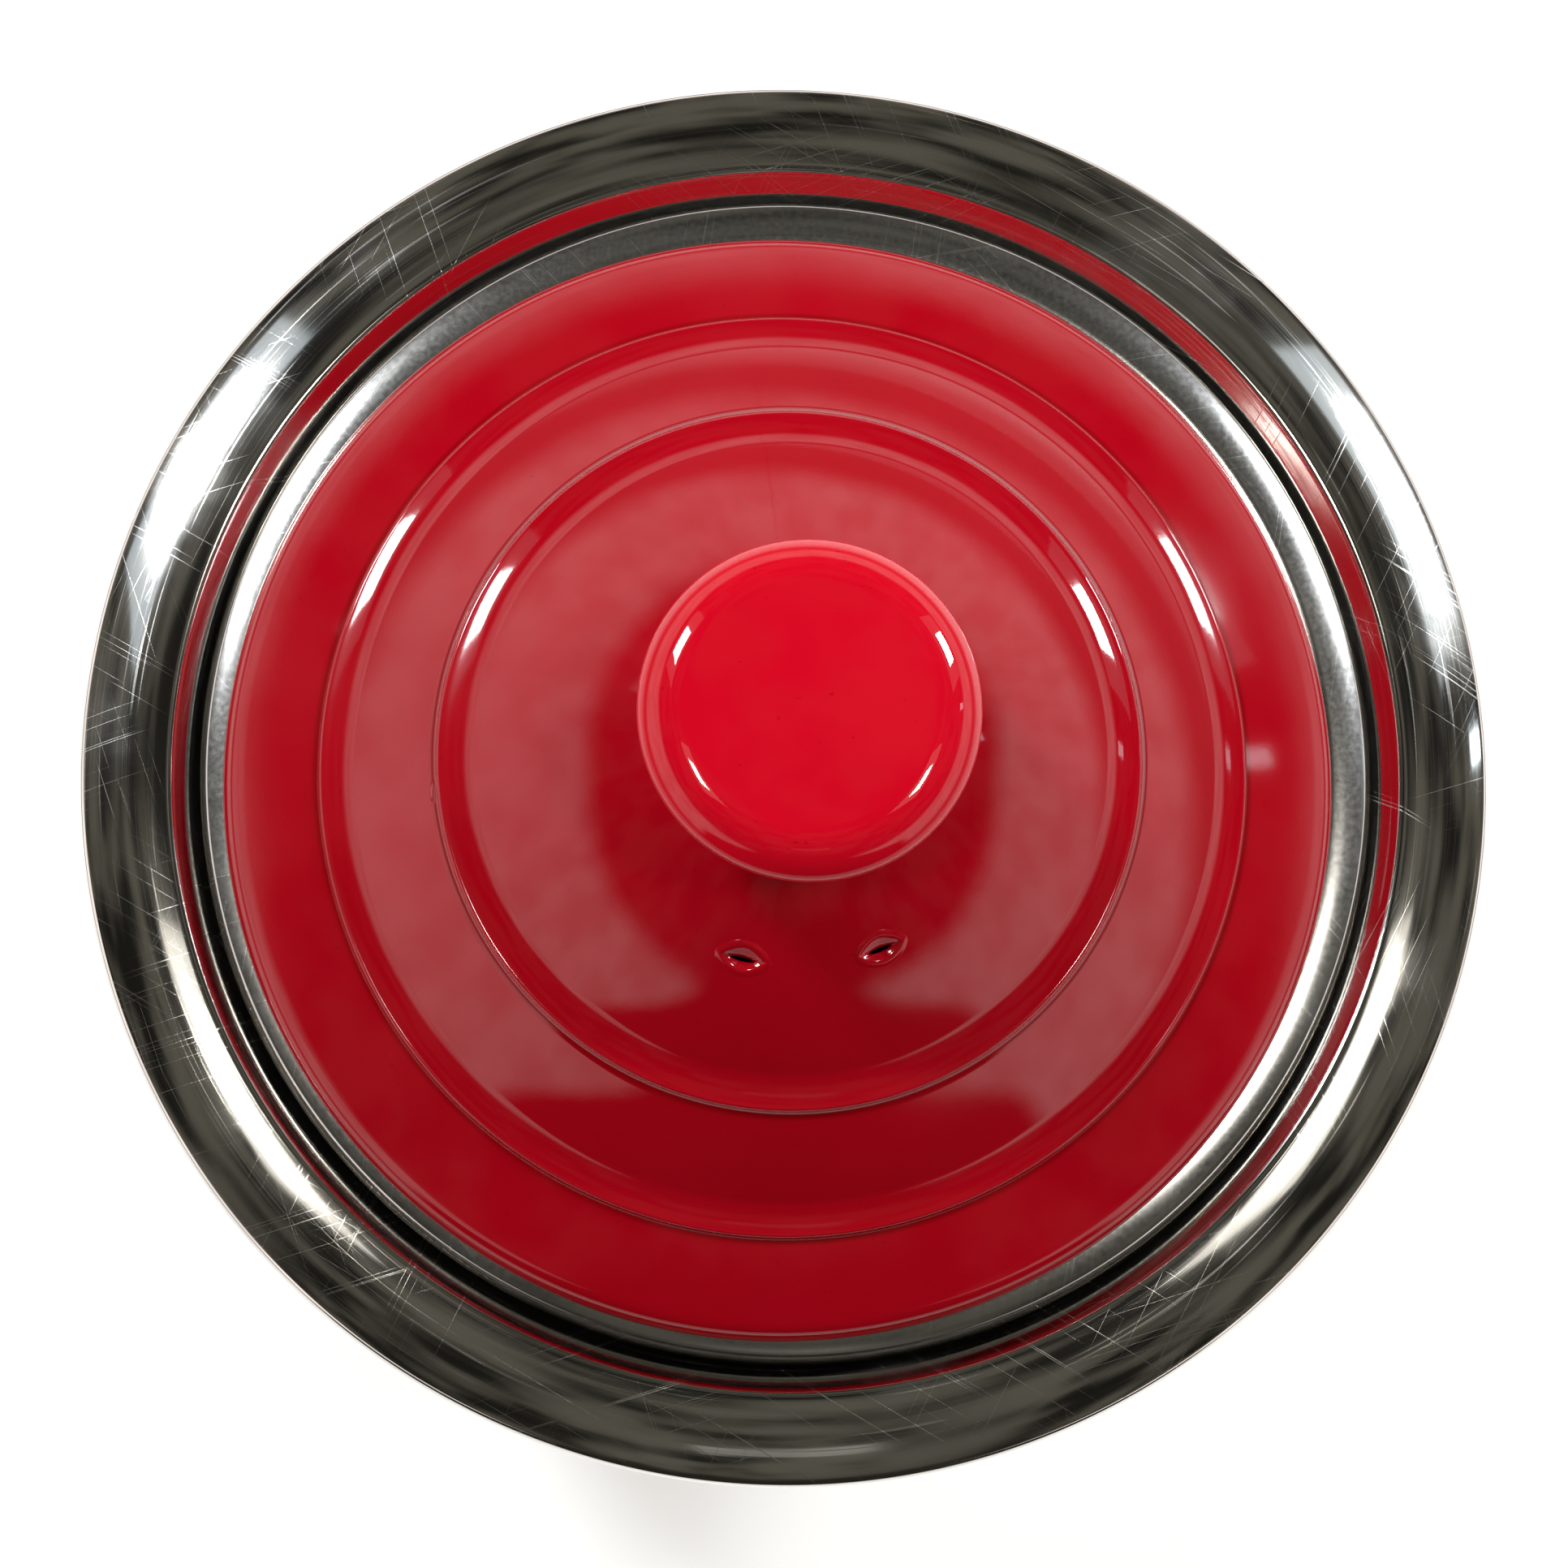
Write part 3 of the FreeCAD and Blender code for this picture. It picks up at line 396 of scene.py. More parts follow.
def endTree(tree, geometry, finish):
    smooth = put(tree, "GeometryNodeSetShadeSmooth")
    realize = put(tree, "GeometryNodeRealizeInstances")
    paint = put(tree, "GeometryNodeSetMaterial")
    feed(tree, smooth.inputs["Geometry"], geometry)
    feed(tree, realize.inputs[0], smooth.outputs[0])
    feed(tree, paint.inputs["Geometry"], realize.outputs[0])
    feed(tree, paint.inputs["Material"], finish)
    feed(tree, put(tree, "NodeGroupOutput").inputs[0], paint.outputs[0])


def grown(name, mesh, tree, values):
    piece = bpy.data.objects.new(name, mesh)
    bpy.context.scene.collection.objects.link(piece)
    modifier = piece.modifiers.new("grow", "NODES")
    modifier.node_group = tree
    for item in tree.interface.items_tree:
        if item.in_out == "INPUT" and item.name in values:
            modifier[item.identifier] = values[item.name]
    bpy.context.view_layer.update()
    made = bpy.data.meshes.new_from_object(piece.evaluated_get(bpy.context.evaluated_depsgraph_get()))
    piece.modifiers.remove(modifier)
    piece.data = made
    made.name = name
    return piece


def makeTurningTree():
    inputs = [("Around", "Int"), ("Points", "Int"), ("Middle", "Vector"), ("Finish", "Material")]
    tree, given = newTree("turnedOutline", inputs)
    around, points = given["Around"], given["Points"]
    rows = sums(tree, "ADD", points, 1.0)
    grid = put(tree, "GeometryNodeMeshGrid")
    feed(tree, grid.inputs["Vertices X"], sums(tree, "ADD", around, 1.0))
    feed(tree, grid.inputs["Vertices Y"], rows)
    index = put(tree, "GeometryNodeInputIndex").outputs[0]
    column = sums(tree, "FLOOR", sums(tree, "DIVIDE", sums(tree, "ADD", index, 0.5), rows))
    row = sums(tree, "SUBTRACT", index, sums(tree, "MULTIPLY", column, rows))
    row = sums(tree, "MODULO", row, points)
    sample = put(tree, "GeometryNodeSampleIndex", data_type="FLOAT_VECTOR", domain="POINT")
    feed(tree, sample.inputs["Geometry"], given["Geometry"])
    feed(tree, sample.inputs["Value"], put(tree, "GeometryNodeInputPosition").outputs[0])
    feed(tree, sample.inputs["Index"], row)
    split = put(tree, "ShaderNodeSeparateXYZ")
    feed(tree, split.inputs[0], sample.outputs[0])
    column = sums(tree, "MODULO", column, around)
    angle = sums(tree, "DIVIDE", sums(tree, "MULTIPLY", column, 2.0 * math.pi), around)
    place = put(tree, "ShaderNodeCombineXYZ")
    feed(tree, place.inputs[0], sums(tree, "MULTIPLY", split.outputs[0], sums(tree, "COSINE", angle)))
    feed(tree, place.inputs[1], sums(tree, "MULTIPLY", split.outputs[0], sums(tree, "SINE", angle)))
    feed(tree, place.inputs[2], split.outputs[2])
    moved = put(tree, "ShaderNodeVectorMath", operation="ADD")
    feed(tree, moved.inputs[0], place.outputs[0])
    feed(tree, moved.inputs[1], given["Middle"])
    shaped = put(tree, "GeometryNodeSetPosition")
    feed(tree, shaped.inputs["Geometry"], grid.outputs["Mesh"])
    feed(tree, shaped.inputs["Position"], moved.outputs[0])
    joined = put(tree, "GeometryNodeMergeByDistance")
    feed(tree, joined.inputs["Geometry"], shaped.outputs[0])
    feed(tree, joined.inputs["Distance"], 0.002 * mm)
    endTree(tree, joined.outputs[0], given["Finish"])
    return tree


turningTree = makeTurningTree()


def traced(outline, step=1.2):
    points = []
    for here in outline:
        spot = Vector(here[:2])
        if points:
            start = points[-1]
            run = spot - start
            if len(here) == 3:
                bend = here[2]
                left = Vector((-run.y, run.x)).normalized()
                rise = math.sqrt(max(bend * bend - run.length_squared / 4, 0.0))
                centre = (start + spot) / 2 + left * math.copysign(rise, bend)
                first = start - centre
                turn = math.copysign(2.0 * math.asin(min(1.0, run.length / 2 / abs(bend))), bend)
                byLength, byTurn = abs(turn) * abs(bend) / step, math.degrees(abs(turn)) / 7.5
                cuts = max(6, math.ceil(byLength), math.ceil(byTurn))
                for cut in range(1, cuts):
                    points.append(centre + Matrix.Rotation(turn * cut / cuts, 2) @ first)
            else:
                cuts = max(1, math.ceil(run.length / (step * 4)))
                for cut in range(1, cuts):
                    points.append(start + run * cut / cuts)
        points.append(spot)
    return points


def folded(face, wall):
    back = []
    for number, point in enumerate(face):
        before = (point - face[number - 1]).normalized() if number else None
        after = (face[number + 1] - point).normalized() if number + 1 < len(face) else before
        before = before or after
        heading = (before + after).normalized()
        left = Vector((-heading.y, heading.x))
        back.append(point + left * wall / max(0.3, heading.dot(after)))
    return face + back[::-1]


def turnedPiece(name, points, middlePlace, finish, around=384):
    mesh = bpy.data.meshes.new(name)
    mesh.from_pydata([(p.x * mm, 0.0, p.y * mm) for p in points], [], [])
    values = {"Around": around, "Points": len(points), "Middle": middlePlace, "Finish": finish}
    piece = grown(name, mesh, turningTree, values)
    tidy = bmesh.new()
    tidy.from_mesh(piece.data)
    bmesh.ops.dissolve_degenerate(tidy, dist=0.0005 * mm, edges=tidy.edges)
    bmesh.ops.delete(tidy, geom=[e for e in tidy.edges if not e.link_faces], context="EDGES")
    if tidy.calc_volume(signed=True) < 0:
        bmesh.ops.reverse_faces(tidy, faces=tidy.faces)
    openEdges = sum(1 for e in tidy.edges if len(e.link_faces) != 2)
    tidy.to_mesh(piece.data)
    tidy.free()
    piece.data.shade_smooth()
    piece.data.set_sharp_from_angle(angle=math.radians(32.0))
    print(name, "faces", len(piece.data.polygons), "open edges", openEdges)
    return piece


def standFor(piece, node, body):
    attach(piece, body)
    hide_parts(node)


# ---- catch tray ----

traySettings = {
    "wall": 0.8, "around": 360,
    "outline": [  # radius, height and bend in mm
        (0.0, 1.5), (58.5, 1.5), (60.0, 0.0), (78.4, 0.0), (81.4, 3.0, 3.0), (81.4, 14.4),
        (82.4, 15.4, -1.0), (83.2, 15.4),
    ],
}


def makeTray(settings):
    outline, wall = settings["outline"], settings["wall"]
    rise = outline[0][1]
    points = [p for p in folded(traced(outline), wall) if p.x > 0.01]
    points += [Vector((0.0, rise + wall)), Vector((0.0, rise))]
    return turnedPiece("catchTray", points, (0.0, 0.0, 0.0), finishes["brushed_steel"], settings["around"])


standFor(makeTray(traySettings), "catch_tray", "tray")


# ---- drum wall with its rolled shoulder ----

drumSettings = {
    "wall": 0.8, "around": 400, "radius": 79.0, "foot": 1.2, "hem": 0.9, "top": 97.0, "roll": 2.8,
    "arc": 16.0, "droop": 16.0, "lip": 1.2, "lipTurn": 75.0,  # mm, and degrees from level
}


def makeDrum(settings):
    wall, radius, foot, hem = (settings[k] for k in ("wall", "radius", "foot", "hem"))
    top, roll, arc, lip = (settings[k] for k in ("top", "roll", "arc", "lip"))
    droop, lipTurn = (math.radians(settings[k]) for k in ("droop", "lipTurn"))
    crest = radius - wall + roll
    brow, browHeight = crest + arc * math.sin(droop), top - arc * (1.0 - math.cos(droop))
    lipCentre = Vector((brow - lip * math.sin(droop), browHeight - lip * math.cos(droop)))
    lipEnd = lipCentre + (lip - wall) * Vector((math.sin(lipTurn), math.cos(lipTurn)))
    face = [
        (radius - hem * 2.0, foot + 3.2), (radius - hem * 2.0, foot + hem), (radius - hem, foot, hem),
        (radius, foot + hem, hem), (radius, top - roll), (crest, top - wall, wall - roll),
        (crest + (arc - wall) * math.sin(droop), top - arc + (arc - wall) * math.cos(droop), wall - arc),
        (lipEnd.x, lipEnd.y, wall - lip),
    ]
    points = folded(traced(face, 0.5), wall)
    return turnedPiece("drumShell", points, (0.0, 0.0, 0.0), drumFinish, settings["around"])


standFor(makeDrum(drumSettings), "drum_shell", "drum")


# ---- wide rim and the collar below it ----

rimSettings = {
    "wall": 0.9, "around": 480, "radius": 105.0, "top": 97.0, "crest": 91.6, "arc": 36.0, "curl": 1.6,
    "turnedUnder": 4.5, "nose": 1.5, "gutter": 87.2, "floor": 93.3, "fillet": 1.8, "hollow": 32.0,
    "inner": 79.3, "fall": 44.0, "ease": 36.0,  # mm, and degrees for the last two
}


def makeRim(settings):
    radius, top, crest, arc = (settings[k] for k in ("radius", "top", "crest", "arc"))
    curl, nose, gutter, floor = (settings[k] for k in ("curl", "nose", "gutter", "floor"))
    fillet = settings["fillet"]
    fall, ease = (math.radians(settings[k]) for k in ("fall", "ease"))
    slope = math.asin((radius - crest - curl) / (arc - curl))
    joinRadius, joinHeight = crest + arc * math.sin(slope), top - arc * (1.0 - math.cos(slope))
    under = joinHeight - curl * math.cos(slope) - curl
    face = [
        (radius - settings["turnedUnder"], under), (radius - curl, under), (joinRadius, joinHeight, curl),
        (crest, top, arc), (crest - nose * math.sin(fall), top - nose * (1.0 - math.cos(fall)), nose),
        (gutter, floor + fillet * (1.0 - math.cos(ease)), -settings["hollow"]),
        (gutter - fillet * math.sin(ease), floor, -fillet), (settings["inner"], floor),
    ]
    points = folded(traced(face, 0.5), settings["wall"])
    return turnedPiece("rimRing", points, (0.0, 0.0, 0.0), finishes["polished_steel"], settings["around"])


standFor(makeRim(rimSettings), "rim_ring", "drum")


# ---- lid ----

lidSettings = {
    "around": 400, "vents": (-104.0, -68.0), "ventRadius": 29.5,  # degrees, then mm
    "ventHole": (3.35, 1.85), "ventRim": (4.0, 2.5), "ventThroat": (1.6, 0.26),  # half lengths and widths
    "holePoints": 48, "lipPoints": 96,
    "outline": [  # radius, height and bend in mm
        (5.2, 140.3), (5.2, 137.9), (11.5, 137.9), (44.17, 119.42), (61.65, 107.82), (78.7, 97.4), (80.1, 97.3),
        (81.3, 98.5, 1.2), (78.413, 103.032, 5.0), (66.4, 108.2, 220.0), (66.05, 108.8), (65.45, 109.3, 0.6),
        (61.65, 110.7), (48.92, 119.8, 150.0), (48.57, 120.4), (47.97, 120.9, 0.6), (44.17, 122.3),
        (12.5, 140.3, 120.0), (5.2, 140.3),
    ],
    "lip": [  # share of the way from rim to throat, and height in mm above the lid
        (0.0, -0.9), (0.0, -0.05), (0.1, 0.02), (0.2, 0.08), (0.31, 0.12), (0.41, 0.10), (0.5, 0.02),
        (0.58, -0.12), (0.67, -0.26), (0.77, -0.40), (0.88, -0.56), (0.95, -0.75), (1.0, -1.2), (1.0, -2.6),
        (0.5, -2.75), (0.2, -2.0),
    ],
}


def lidOutline(settings):
    return traced(settings["outline"])[:-1]


def surfaceHeight(outline, distance):
    best = 0.0
    for first, second in zip(outline, outline[1:] + outline[:1]):
        low, high = sorted((first.x, second.x))
        if high - low > 1e-6 and low <= distance <= high:
            share = (distance - first.x) / (second.x - first.x)
            best = max(best, first.y + (second.y - first.y) * share)
    return best


def almond(angle, length, width, fullness=1.75):
    cosine, sine = math.cos(angle), math.sin(angle)
    reach = (abs(cosine / length) ** fullness + abs(sine / width) ** fullness) ** (-1.0 / fullness)
    return reach * cosine, reach * sine


def ventCutters(settings, middlePlace):
    total = settings["holePoints"]
    cutter = bmesh.new()
    for azimuth in settings["vents"]:
        turn = Matrix.Rotation(math.radians(azimuth), 3, "Z")
        rings = []
        for height in (90.0, 150.0):
            ring = []
            for number in range(total):
                along, across = almond(2.0 * math.pi * number / total, *settings["ventHole"])
                spot = turn @ Vector((settings["ventRadius"] + across, along, height))
                ring.append(cutter.verts.new((spot * mm) + Vector((middlePlace.x, middlePlace.y, 0.0))))
            rings.append(ring)
        for number in range(total):
            after = (number + 1) % total
            cutter.faces.new((rings[0][number], rings[0][after], rings[1][after], rings[1][number]))
        cutter.faces.new(rings[0][::-1])
        cutter.faces.new(rings[1])
    bmesh.ops.recalc_face_normals(cutter, faces=cutter.faces)
    mesh = bpy.data.meshes.new("ventCutter")
    cutter.to_mesh(mesh)
    cutter.free()
    piece = bpy.data.objects.new("ventCutter", mesh)
    bpy.context.scene.collection.objects.link(piece)
    return piece


def makeLid(settings):
    place = middle("lid_dome")
    centre = Vector((place.x, place.y, 0.0))
    lid = turnedPiece("lidDome", lidOutline(settings), centre, finishes["red_enamel"], settings["around"])
    cutter = ventCutters(settings, centre)
    boolean = lid.modifiers.new("vents", "BOOLEAN")
    boolean.operation, boolean.solver, boolean.object = "DIFFERENCE", "EXACT", cutter
    bpy.context.view_layer.update()
    cut = bpy.data.meshes.new_from_object(lid.evaluated_get(bpy.context.evaluated_depsgraph_get()))
    lid.modifiers.clear()
    lid.data = cut
    bpy.data.objects.remove(cutter)
    cut.materials.clear()
    cut.materials.append(finishes["red_enamel"])
    cut.shade_smooth()
    cut.set_sharp_from_angle(angle=math.radians(32.0))
    return lid, centre


def ventLip(settings, centre):
    outline, section, total = lidOutline(settings), settings["lip"], settings["lipPoints"]
    lips = bmesh.new()
    for azimuth in settings["vents"]:
        turn = Matrix.Rotation(math.radians(azimuth), 3, "Z")
        rows = []
        for number in range(total):
            angle = 2.0 * math.pi * number / total
            wide, slim = almond(angle, *settings["ventRim"]), almond(angle, *settings["ventThroat"])
            row = []
            for share, height in section:
                along = wide[0] + (slim[0] - wide[0]) * share
                across = wide[1] + (slim[1] - wide[1]) * share
                flat = turn @ Vector((settings["ventRadius"] + across, along, 0.0))
                level = surfaceHeight(outline, math.hypot(flat.x, flat.y)) + height
                row.append(lips.verts.new(Vector((flat.x, flat.y, level)) * mm + centre))
            rows.append(row)
        for number, row in enumerate(rows):
            after = rows[(number + 1) % total]
            for spot in range(len(section)):
                nextSpot = (spot + 1) % len(section)
                lips.faces.new((row[spot], row[nextSpot], after[nextSpot], after[spot]))
    bmesh.ops.recalc_face_normals(lips, faces=lips.faces)
    mesh = bpy.data.meshes.new("ventLips")
    lips.to_mesh(mesh)
    lips.free()
    mesh.materials.append(finishes["red_enamel"])
    mesh.shade_smooth()
    piece = bpy.data.objects.new("ventLips", mesh)
    bpy.context.scene.collection.objects.link(piece)
    return piece


lidPiece, lidCentre = makeLid(lidSettings)
standFor(lidPiece, "lid_dome", "lid")
lipPiece = ventLip(lidSettings, lidCentre)
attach(lipPiece, "lid")
print("lid made")


# ---- knob ----

knobSettings = {
    "around": 320, "radius": 21.3, "edge": 154.9, "crownRadius": 15.4, "shoulderArc": 7.6, "underArc": 3.2,
    "flareArc": 13.2, "bore": 5.0, "boreTop": 151.3,
}


def makeKnob(settings):
    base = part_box("knob")[0].z / mm
    radius, edge = settings["radius"], settings["edge"]
    crown, steep, under = (math.radians(a) for a in (4.0, 52.0, 75.0))
    shoulder, crownRadius = settings["shoulderArc"], settings["crownRadius"]
    shoulderEnd = crownRadius + shoulder * (math.sin(steep) - math.sin(crown))
    rimArc = (radius - shoulderEnd) / (1.0 - math.sin(steep))
    shoulderHeight = edge + rimArc * math.cos(steep)
    crownHeight = shoulderHeight + shoulder * (math.cos(crown) - math.cos(steep))
    crownArc = crownRadius / math.sin(crown)
    top = crownHeight + crownArc * (1.0 - math.cos(crown))
    flareEnd = radius - settings["underArc"] * (1.0 - math.cos(under))
    flareHeight = edge - settings["underArc"] * math.sin(under)
    flare = settings["flareArc"]
    waistHeight, waist = flareHeight - flare * math.sin(under), flareEnd - flare * (1.0 - math.cos(under))
    start = waist + flare - math.sqrt(flare**2 - (base + 0.5 - waistHeight) ** 2)
    outline = [
        (settings["bore"], base), (start + 0.4, base), (start, base + 0.5), (flareEnd, flareHeight, -flare),
        (radius, edge, settings["underArc"]), (shoulderEnd, shoulderHeight, rimArc),
        (crownRadius, crownHeight, shoulder), (0.4, top, crownArc), (0.0, top),
        (0.0, settings["boreTop"]), (settings["bore"], settings["boreTop"]), (settings["bore"], base),
    ]
    place = middle("knob")
    return turnedPiece("knobSpool", traced(outline, 0.6)[:-1], (place.x, place.y, 0.0), finishes["red_glaze"],
                       settings["around"])


standFor(makeKnob(knobSettings), "knob", "knob")
print("knob made")


# ---- woven wire screen ----

screenSettings = {
    "pitch": 1.6, "wire": 0.17, "wave": 0.17, "reach": 77.0, "flatFrom": 72.0, "level": 12.35, "rise": 10.0,
}


def makeWeaveTree():
    names = ["Pitch", "Wire", "Wave", "Reach", "Flat", "Level", "Rise", "Side"]
    tree, given = newTree("wovenScreen", [(n, "Float") for n in names] + [("Finish", "Material")])
    pitch, reach, flat = given["Pitch"], given["Reach"], given["Flat"]
    half = sums(tree, "FLOOR", sums(tree, "DIVIDE", reach, pitch))
    count = sums(tree, "ADD", sums(tree, "MULTIPLY", half, 2.0), 1.0)
    edge = sums(tree, "MULTIPLY", half, pitch)
    start = put(tree, "ShaderNodeCombineXYZ")
    feed(tree, start.inputs[1], sums(tree, "MULTIPLY", edge, -1.0))
    gap = put(tree, "ShaderNodeCombineXYZ")
    feed(tree, gap.inputs[1], pitch)
    spots = put(tree, "GeometryNodeMeshLine", mode="OFFSET")
    feed(tree, spots.inputs["Count"], count)
    feed(tree, spots.inputs["Start Location"], start.outputs[0])
    feed(tree, spots.inputs["Offset"], gap.outputs[0])
    left, right = put(tree, "ShaderNodeCombineXYZ"), put(tree, "ShaderNodeCombineXYZ")
    feed(tree, left.inputs[0], sums(tree, "MULTIPLY", edge, -1.0))
    feed(tree, right.inputs[0], edge)
    strand = put(tree, "GeometryNodeCurvePrimitiveLine")
    feed(tree, strand.inputs["Start"], left.outputs[0])
    feed(tree, strand.inputs["End"], right.outputs[0])
    cut = put(tree, "GeometryNodeResampleCurve")
    feed(tree, cut.inputs["Curve"], strand.outputs[0])
    feed(tree, cut.inputs["Count"], sums(tree, "SUBTRACT", sums(tree, "MULTIPLY", count, 2.0), 1.0))
    laid = put(tree, "GeometryNodeInstanceOnPoints")
    feed(tree, laid.inputs["Points"], spots.outputs[0])
    feed(tree, laid.inputs["Instance"], cut.outputs[0])
    real = put(tree, "GeometryNodeRealizeInstances")
    feed(tree, real.inputs[0], laid.outputs[0])
    split = put(tree, "ShaderNodeSeparateXYZ")
    feed(tree, split.inputs[0], put(tree, "GeometryNodeInputPosition").outputs[0])
    x, y = split.outputs[0], split.outputs[1]
    radius = sums(tree, "SQRT", sums(tree, "ADD", sums(tree, "MULTIPLY", x, x), sums(tree, "MULTIPLY", y, y)))
    trimmed = put(tree, "GeometryNodeDeleteGeometry", domain="POINT")
    feed(tree, trimmed.inputs["Geometry"], real.outputs[0])
    feed(tree, trimmed.inputs["Selection"], sums(tree, "GREATER_THAN", radius, reach))
    rise = given["Rise"]
    squares = sums(tree, "ADD", sums(tree, "MULTIPLY", flat, flat), sums(tree, "MULTIPLY", rise, rise))
    sphere = sums(tree, "DIVIDE", squares, sums(tree, "MULTIPLY", rise, 2.0))
    within = sums(tree, "MINIMUM", radius, flat)
    drop = sums(tree, "MULTIPLY", sphere, sphere)
    drop = sums(tree, "SUBTRACT", drop, sums(tree, "MULTIPLY", within, within))
    level = sums(tree, "ADD", given["Level"], sums(tree, "SUBTRACT", sphere, sums(tree, "SQRT", drop)))
    phase = sums(tree, "DIVIDE", sums(tree, "ADD", x, y), pitch)
    swing = sums(tree, "COSINE", sums(tree, "MULTIPLY", phase, math.pi))
    swing = sums(tree, "MULTIPLY", sums(tree, "MULTIPLY", swing, given["Wave"]), given["Side"])
    place = put(tree, "ShaderNodeCombineXYZ")
    feed(tree, place.inputs[0], x)
    feed(tree, place.inputs[1], y)
    feed(tree, place.inputs[2], sums(tree, "ADD", level, swing))
    shaped = put(tree, "GeometryNodeSetPosition")
    feed(tree, shaped.inputs["Geometry"], trimmed.outputs[0])
    feed(tree, shaped.inputs["Position"], place.outputs[0])
    ring = put(tree, "GeometryNodeCurvePrimitiveCircle", mode="RADIUS")
    ring.inputs["Resolution"].default_value = 5
    feed(tree, ring.inputs["Radius"], given["Wire"])
    skin = put(tree, "GeometryNodeCurveToMesh")
    feed(tree, skin.inputs["Curve"], shaped.outputs[0])
    feed(tree, skin.inputs["Profile Curve"], ring.outputs[0])
    skin.inputs["Fill Caps"].default_value = True
    endTree(tree, skin.outputs[0], given["Finish"])
    return tree


def makeScreen(settings):
    tree = makeWeaveTree()
    values = {
        "Pitch": settings["pitch"] * mm, "Wire": settings["wire"] * mm, "Wave": settings["wave"] * mm,
        "Reach": settings["reach"] * mm, "Flat": settings["flatFrom"] * mm, "Level": settings["level"] * mm,
        "Rise": settings["rise"] * mm, "Finish": finishes["woven_wire"],
    }
    warp = grown("screenWarp", bpy.data.meshes.new("screenWarp"), tree, dict(values, Side=1.0))
    weft = grown("screenWeft", bpy.data.meshes.new("screenWeft"), tree, dict(values, Side=-1.0))
    weft.data.transform(Matrix.Rotation(math.pi / 2, 4, "Z"))
    print("screen wires, faces", len(warp.data.polygons), len(weft.data.polygons))
    return warp, weft


for wires in makeScreen(screenSettings):
    standFor(wires, "screen_mesh", "drum")


# ---- floor, light and surroundings ----

floorSettings = {
    "half": 3.0, "lift": 0.22,  # metres, and how strongly the floor glows
    "colour": (0.94, 0.94, 0.935), "speck": (0.90, 0.90, 0.895),
}


def makeFloor(settings):
    material, tree, shader = startFinish("paleFloor")
    speck = spread(tree, cloudNoise(tree, 60.0, 4.0), 0.35, 0.8)
    colour = blendColour(tree, sums(tree, "MULTIPLY", speck, 0.25), settings["colour"], settings["speck"])
    feed(tree, shader.inputs["Base Color"], colour)
    shader.inputs["Roughness"].default_value = 0.7
    shader.inputs["Emission Color"].default_value = (1.0, 1.0, 0.99, 1.0)
    shader.inputs["Emission Strength"].default_value = settings["lift"]
    bumped(tree, shader, [(cloudNoise(tree, 400.0, 3.0), 0.02)])
    half = settings["half"]
    mesh = bpy.data.meshes.new("paleFloor")
    corners = [(-half, -half, 0), (half, -half, 0), (half, half, 0), (-half, half, 0)]
    mesh.from_pydata(corners, [], [(0, 1, 2, 3)])
    mesh.materials.append(material)
    floor = bpy.data.objects.new("paleFloor", mesh)
    bpy.context.scene.collection.objects.link(floor)


makeFloor(floorSettings)

windowPale, windowBlue, lampWarm = (0.94, 0.97, 1.0), (0.80, 0.91, 1.0), (1.0, 0.97, 0.90)
lightSettings = {  # azimuth and height in degrees, distance and size in metres, watts, colour
    "leftWindow": (139.0, 45.0, 1.3, (0.20, 0.28), 11.5, windowPale),
    "leftSky": (139.0, 45.0, 1.5, (0.52, 0.52), 0.55, windowBlue),
    "rightWindow": (33.0, 35.0, 1.3, (0.20, 0.28), 11.5, windowPale),
    "rightSky": (33.0, 37.0, 1.5, (0.52, 0.52), 0.55, windowBlue),
    "sideWindow": (12.0, 31.0, 1.5, (0.05, 0.16), 0.12, windowBlue),
    "leftLamp": (-170.0, 72.0, 1.6, (0.17, 0.13), 3.4, lampWarm),
    "leftGlow": (-170.0, 72.0, 1.8, (0.42, 0.34), 0.45, lampWarm),
    "rightLamp": (-7.0, 66.0, 1.6, (0.17, 0.13), 3.4, lampWarm),
    "rightGlow": (-7.0, 66.0, 1.8, (0.42, 0.34), 0.45, lampWarm),
    "frontPanel": (-84.0, 54.0, 1.5, (0.30, 0.10), 0.02, lampWarm),
}


def makeLights(settings):
    aim = (cadBox[0] + cadBox[1]) / 2
    for name, (azimuth, height, far, size, power, colour) in settings.items():
        data = bpy.data.lights.new(name, "AREA")
        data.shape = "RECTANGLE"
        data.size, data.size_y = size
        data.energy, data.color = power, colour
        azimuth, height = math.radians(azimuth), math.radians(height)
        level = math.cos(height)
        away = Vector((math.cos(azimuth) * level, math.sin(azimuth) * level, math.sin(height)))
        lamp = bpy.data.objects.new(name, data)
        lamp.location = aim + away * far
        lamp.rotation_euler = away.to_track_quat("Z", "Y").to_euler()
        bpy.context.scene.collection.objects.link(lamp)


makeLights(lightSettings)

roomSettings = {
    "ceiling": (0.046, 0.043, 0.035), "walls": (1.30, 1.18, 1.16), "low": (0.20, 0.19, 0.18),
    "dark": (0.022, 0.018, 0.016), "backdrop": (0.90, 0.90, 0.89),
}


def grey(tree, value):
    node = put(tree, "ShaderNodeCombineColor")
    for socket in node.inputs[:3]:
        feed(tree, socket, value)
    return node.outputs[0]


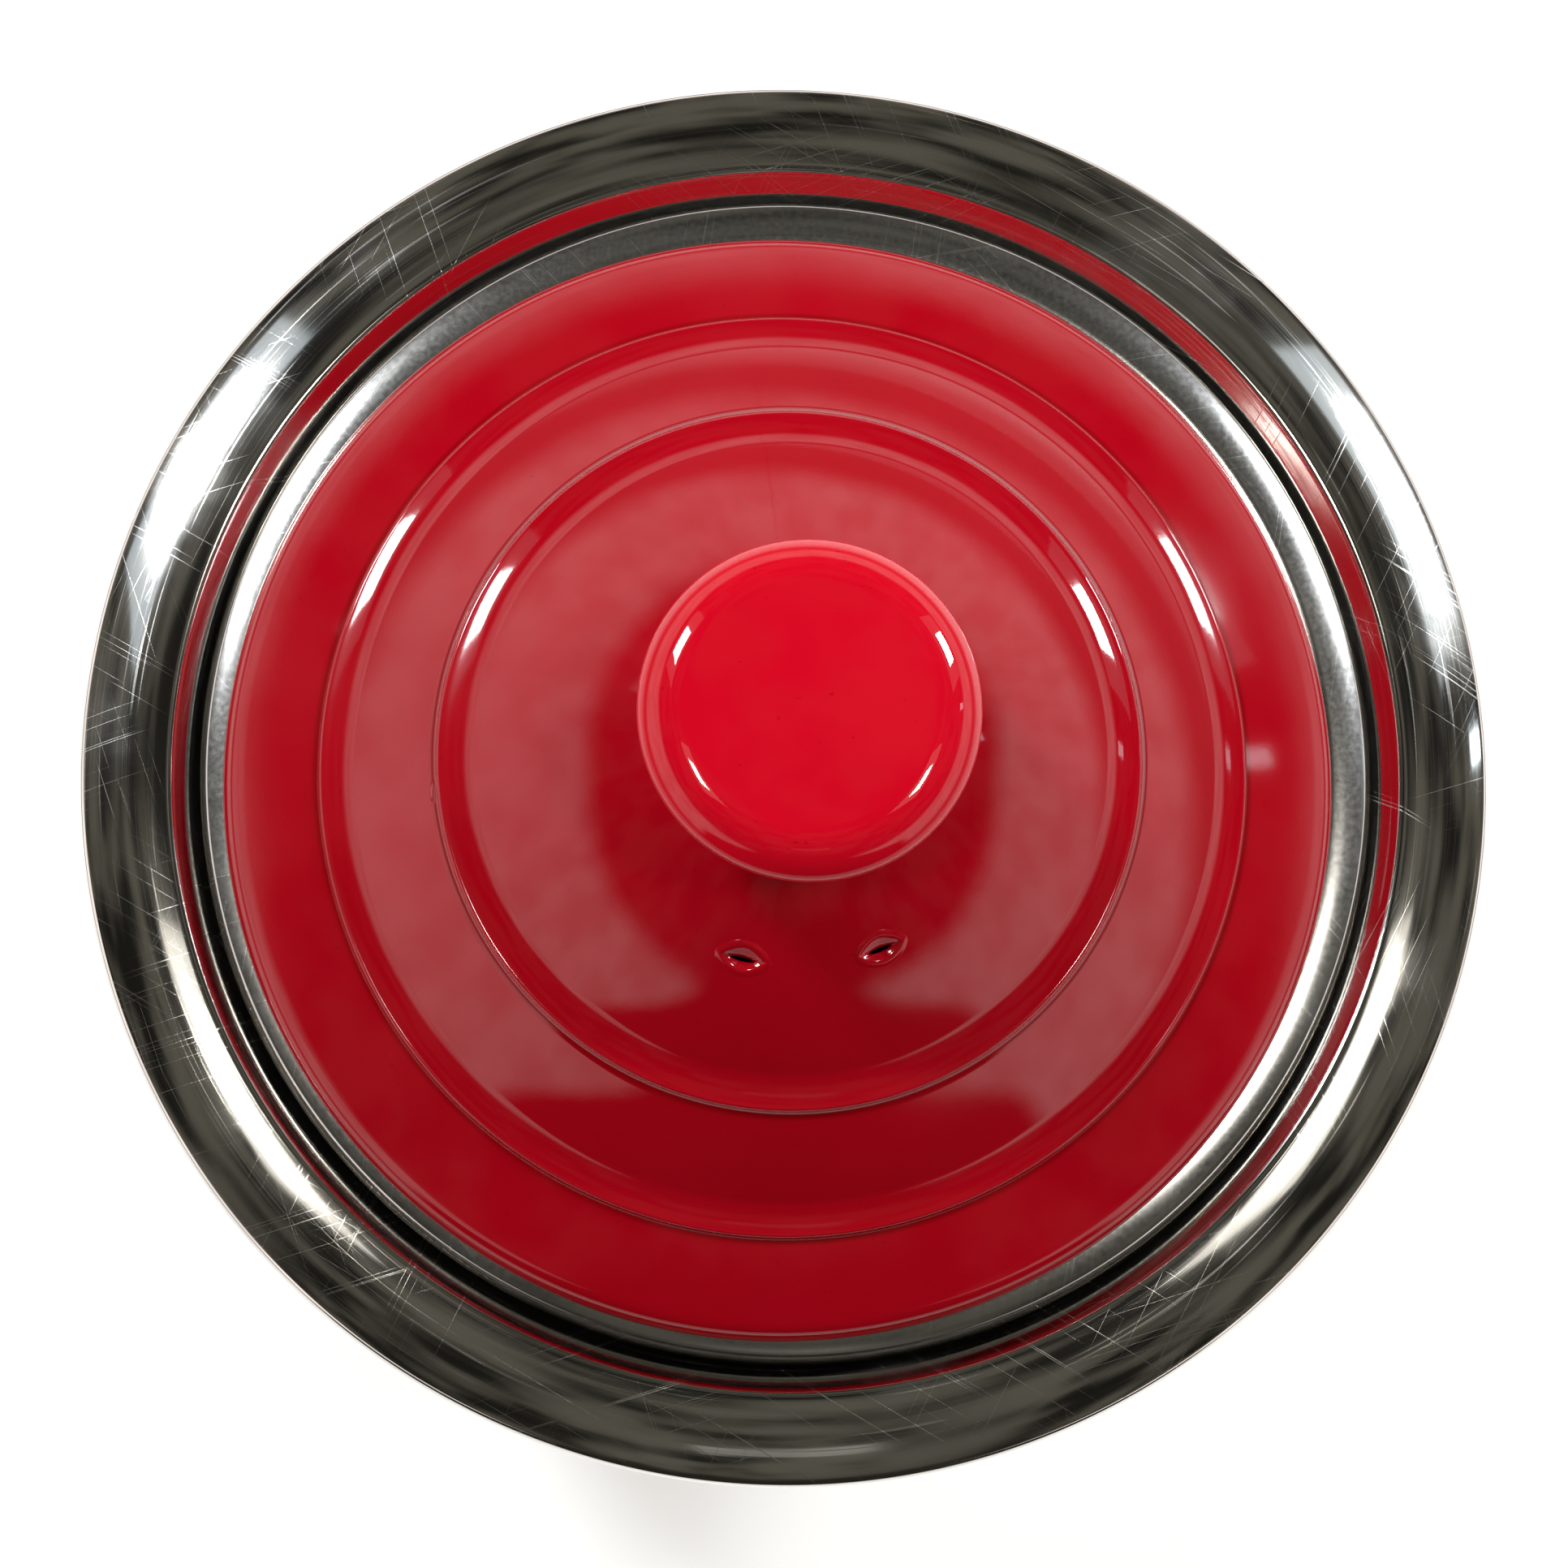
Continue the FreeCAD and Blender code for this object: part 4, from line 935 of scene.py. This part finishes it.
def makeRoom(settings):
    world = bpy.data.worlds.new("dimRoom")
    bpy.context.scene.world = world
    world.use_nodes = True
    tree = world.node_tree
    ground = next(n for n in tree.nodes if n.type == "BACKGROUND")
    split = put(tree, "ShaderNodeSeparateXYZ")
    feed(tree, split.inputs[0], put(tree, "ShaderNodeTexCoord").outputs["Generated"])
    x, y, z = split.outputs
    beams = put(tree, "ShaderNodeTexNoise")
    feed(tree, beams.inputs["Vector"], split.inputs[0].links[0].from_socket)
    beams.inputs["Scale"].default_value = 7.5
    beams.inputs["Detail"].default_value = 2.0
    shade = spread(tree, beams.outputs["Fac"], 0.36, 0.64, 0.25, 2.4)
    ceiling = blendColour(tree, 1.0, settings["ceiling"], grey(tree, shade), "MULTIPLY")
    patchy = grey(tree, spread(tree, beams.outputs["Fac"], 0.3, 0.7, 0.8, 1.15))
    walls = blendColour(tree, 1.0, settings["walls"], patchy, "MULTIPLY")
    north = sums(tree, "MULTIPLY", sums(tree, "MAXIMUM", y, 0.0), -0.13)
    top = sums(tree, "ADD", sums(tree, "ADD", north, 0.48), sums(tree, "MULTIPLY", x, -0.06))
    colour = blendColour(tree, spread(tree, sums(tree, "SUBTRACT", z, top), 0.045, -0.045), ceiling, walls)
    colour = blendColour(tree, spread(tree, z, 0.14, 0.02), colour, settings["low"])
    ahead = sums(tree, "MAXIMUM", sums(tree, "MULTIPLY", y, -1.0), 0.001)
    ratio = sums(tree, "DIVIDE", sums(tree, "ABSOLUTE", x), ahead)
    wedge = spread(tree, sums(tree, "SUBTRACT", ratio, spread(tree, z, 0.2, 0.5, 1.0, 0.42)), 0.10, -0.10)
    wedge = sums(tree, "MULTIPLY", wedge, spread(tree, z, 0.72, 0.60))
    colour = blendColour(tree, wedge, colour, settings["dark"])
    seen = put(tree, "ShaderNodeLightPath").outputs["Is Camera Ray"]
    feed(tree, ground.inputs["Color"], blendColour(tree, seen, colour, settings["backdrop"]))


makeRoom(roomSettings)
bpy.context.scene.view_settings.view_transform = "Standard"
print("room and lights made")
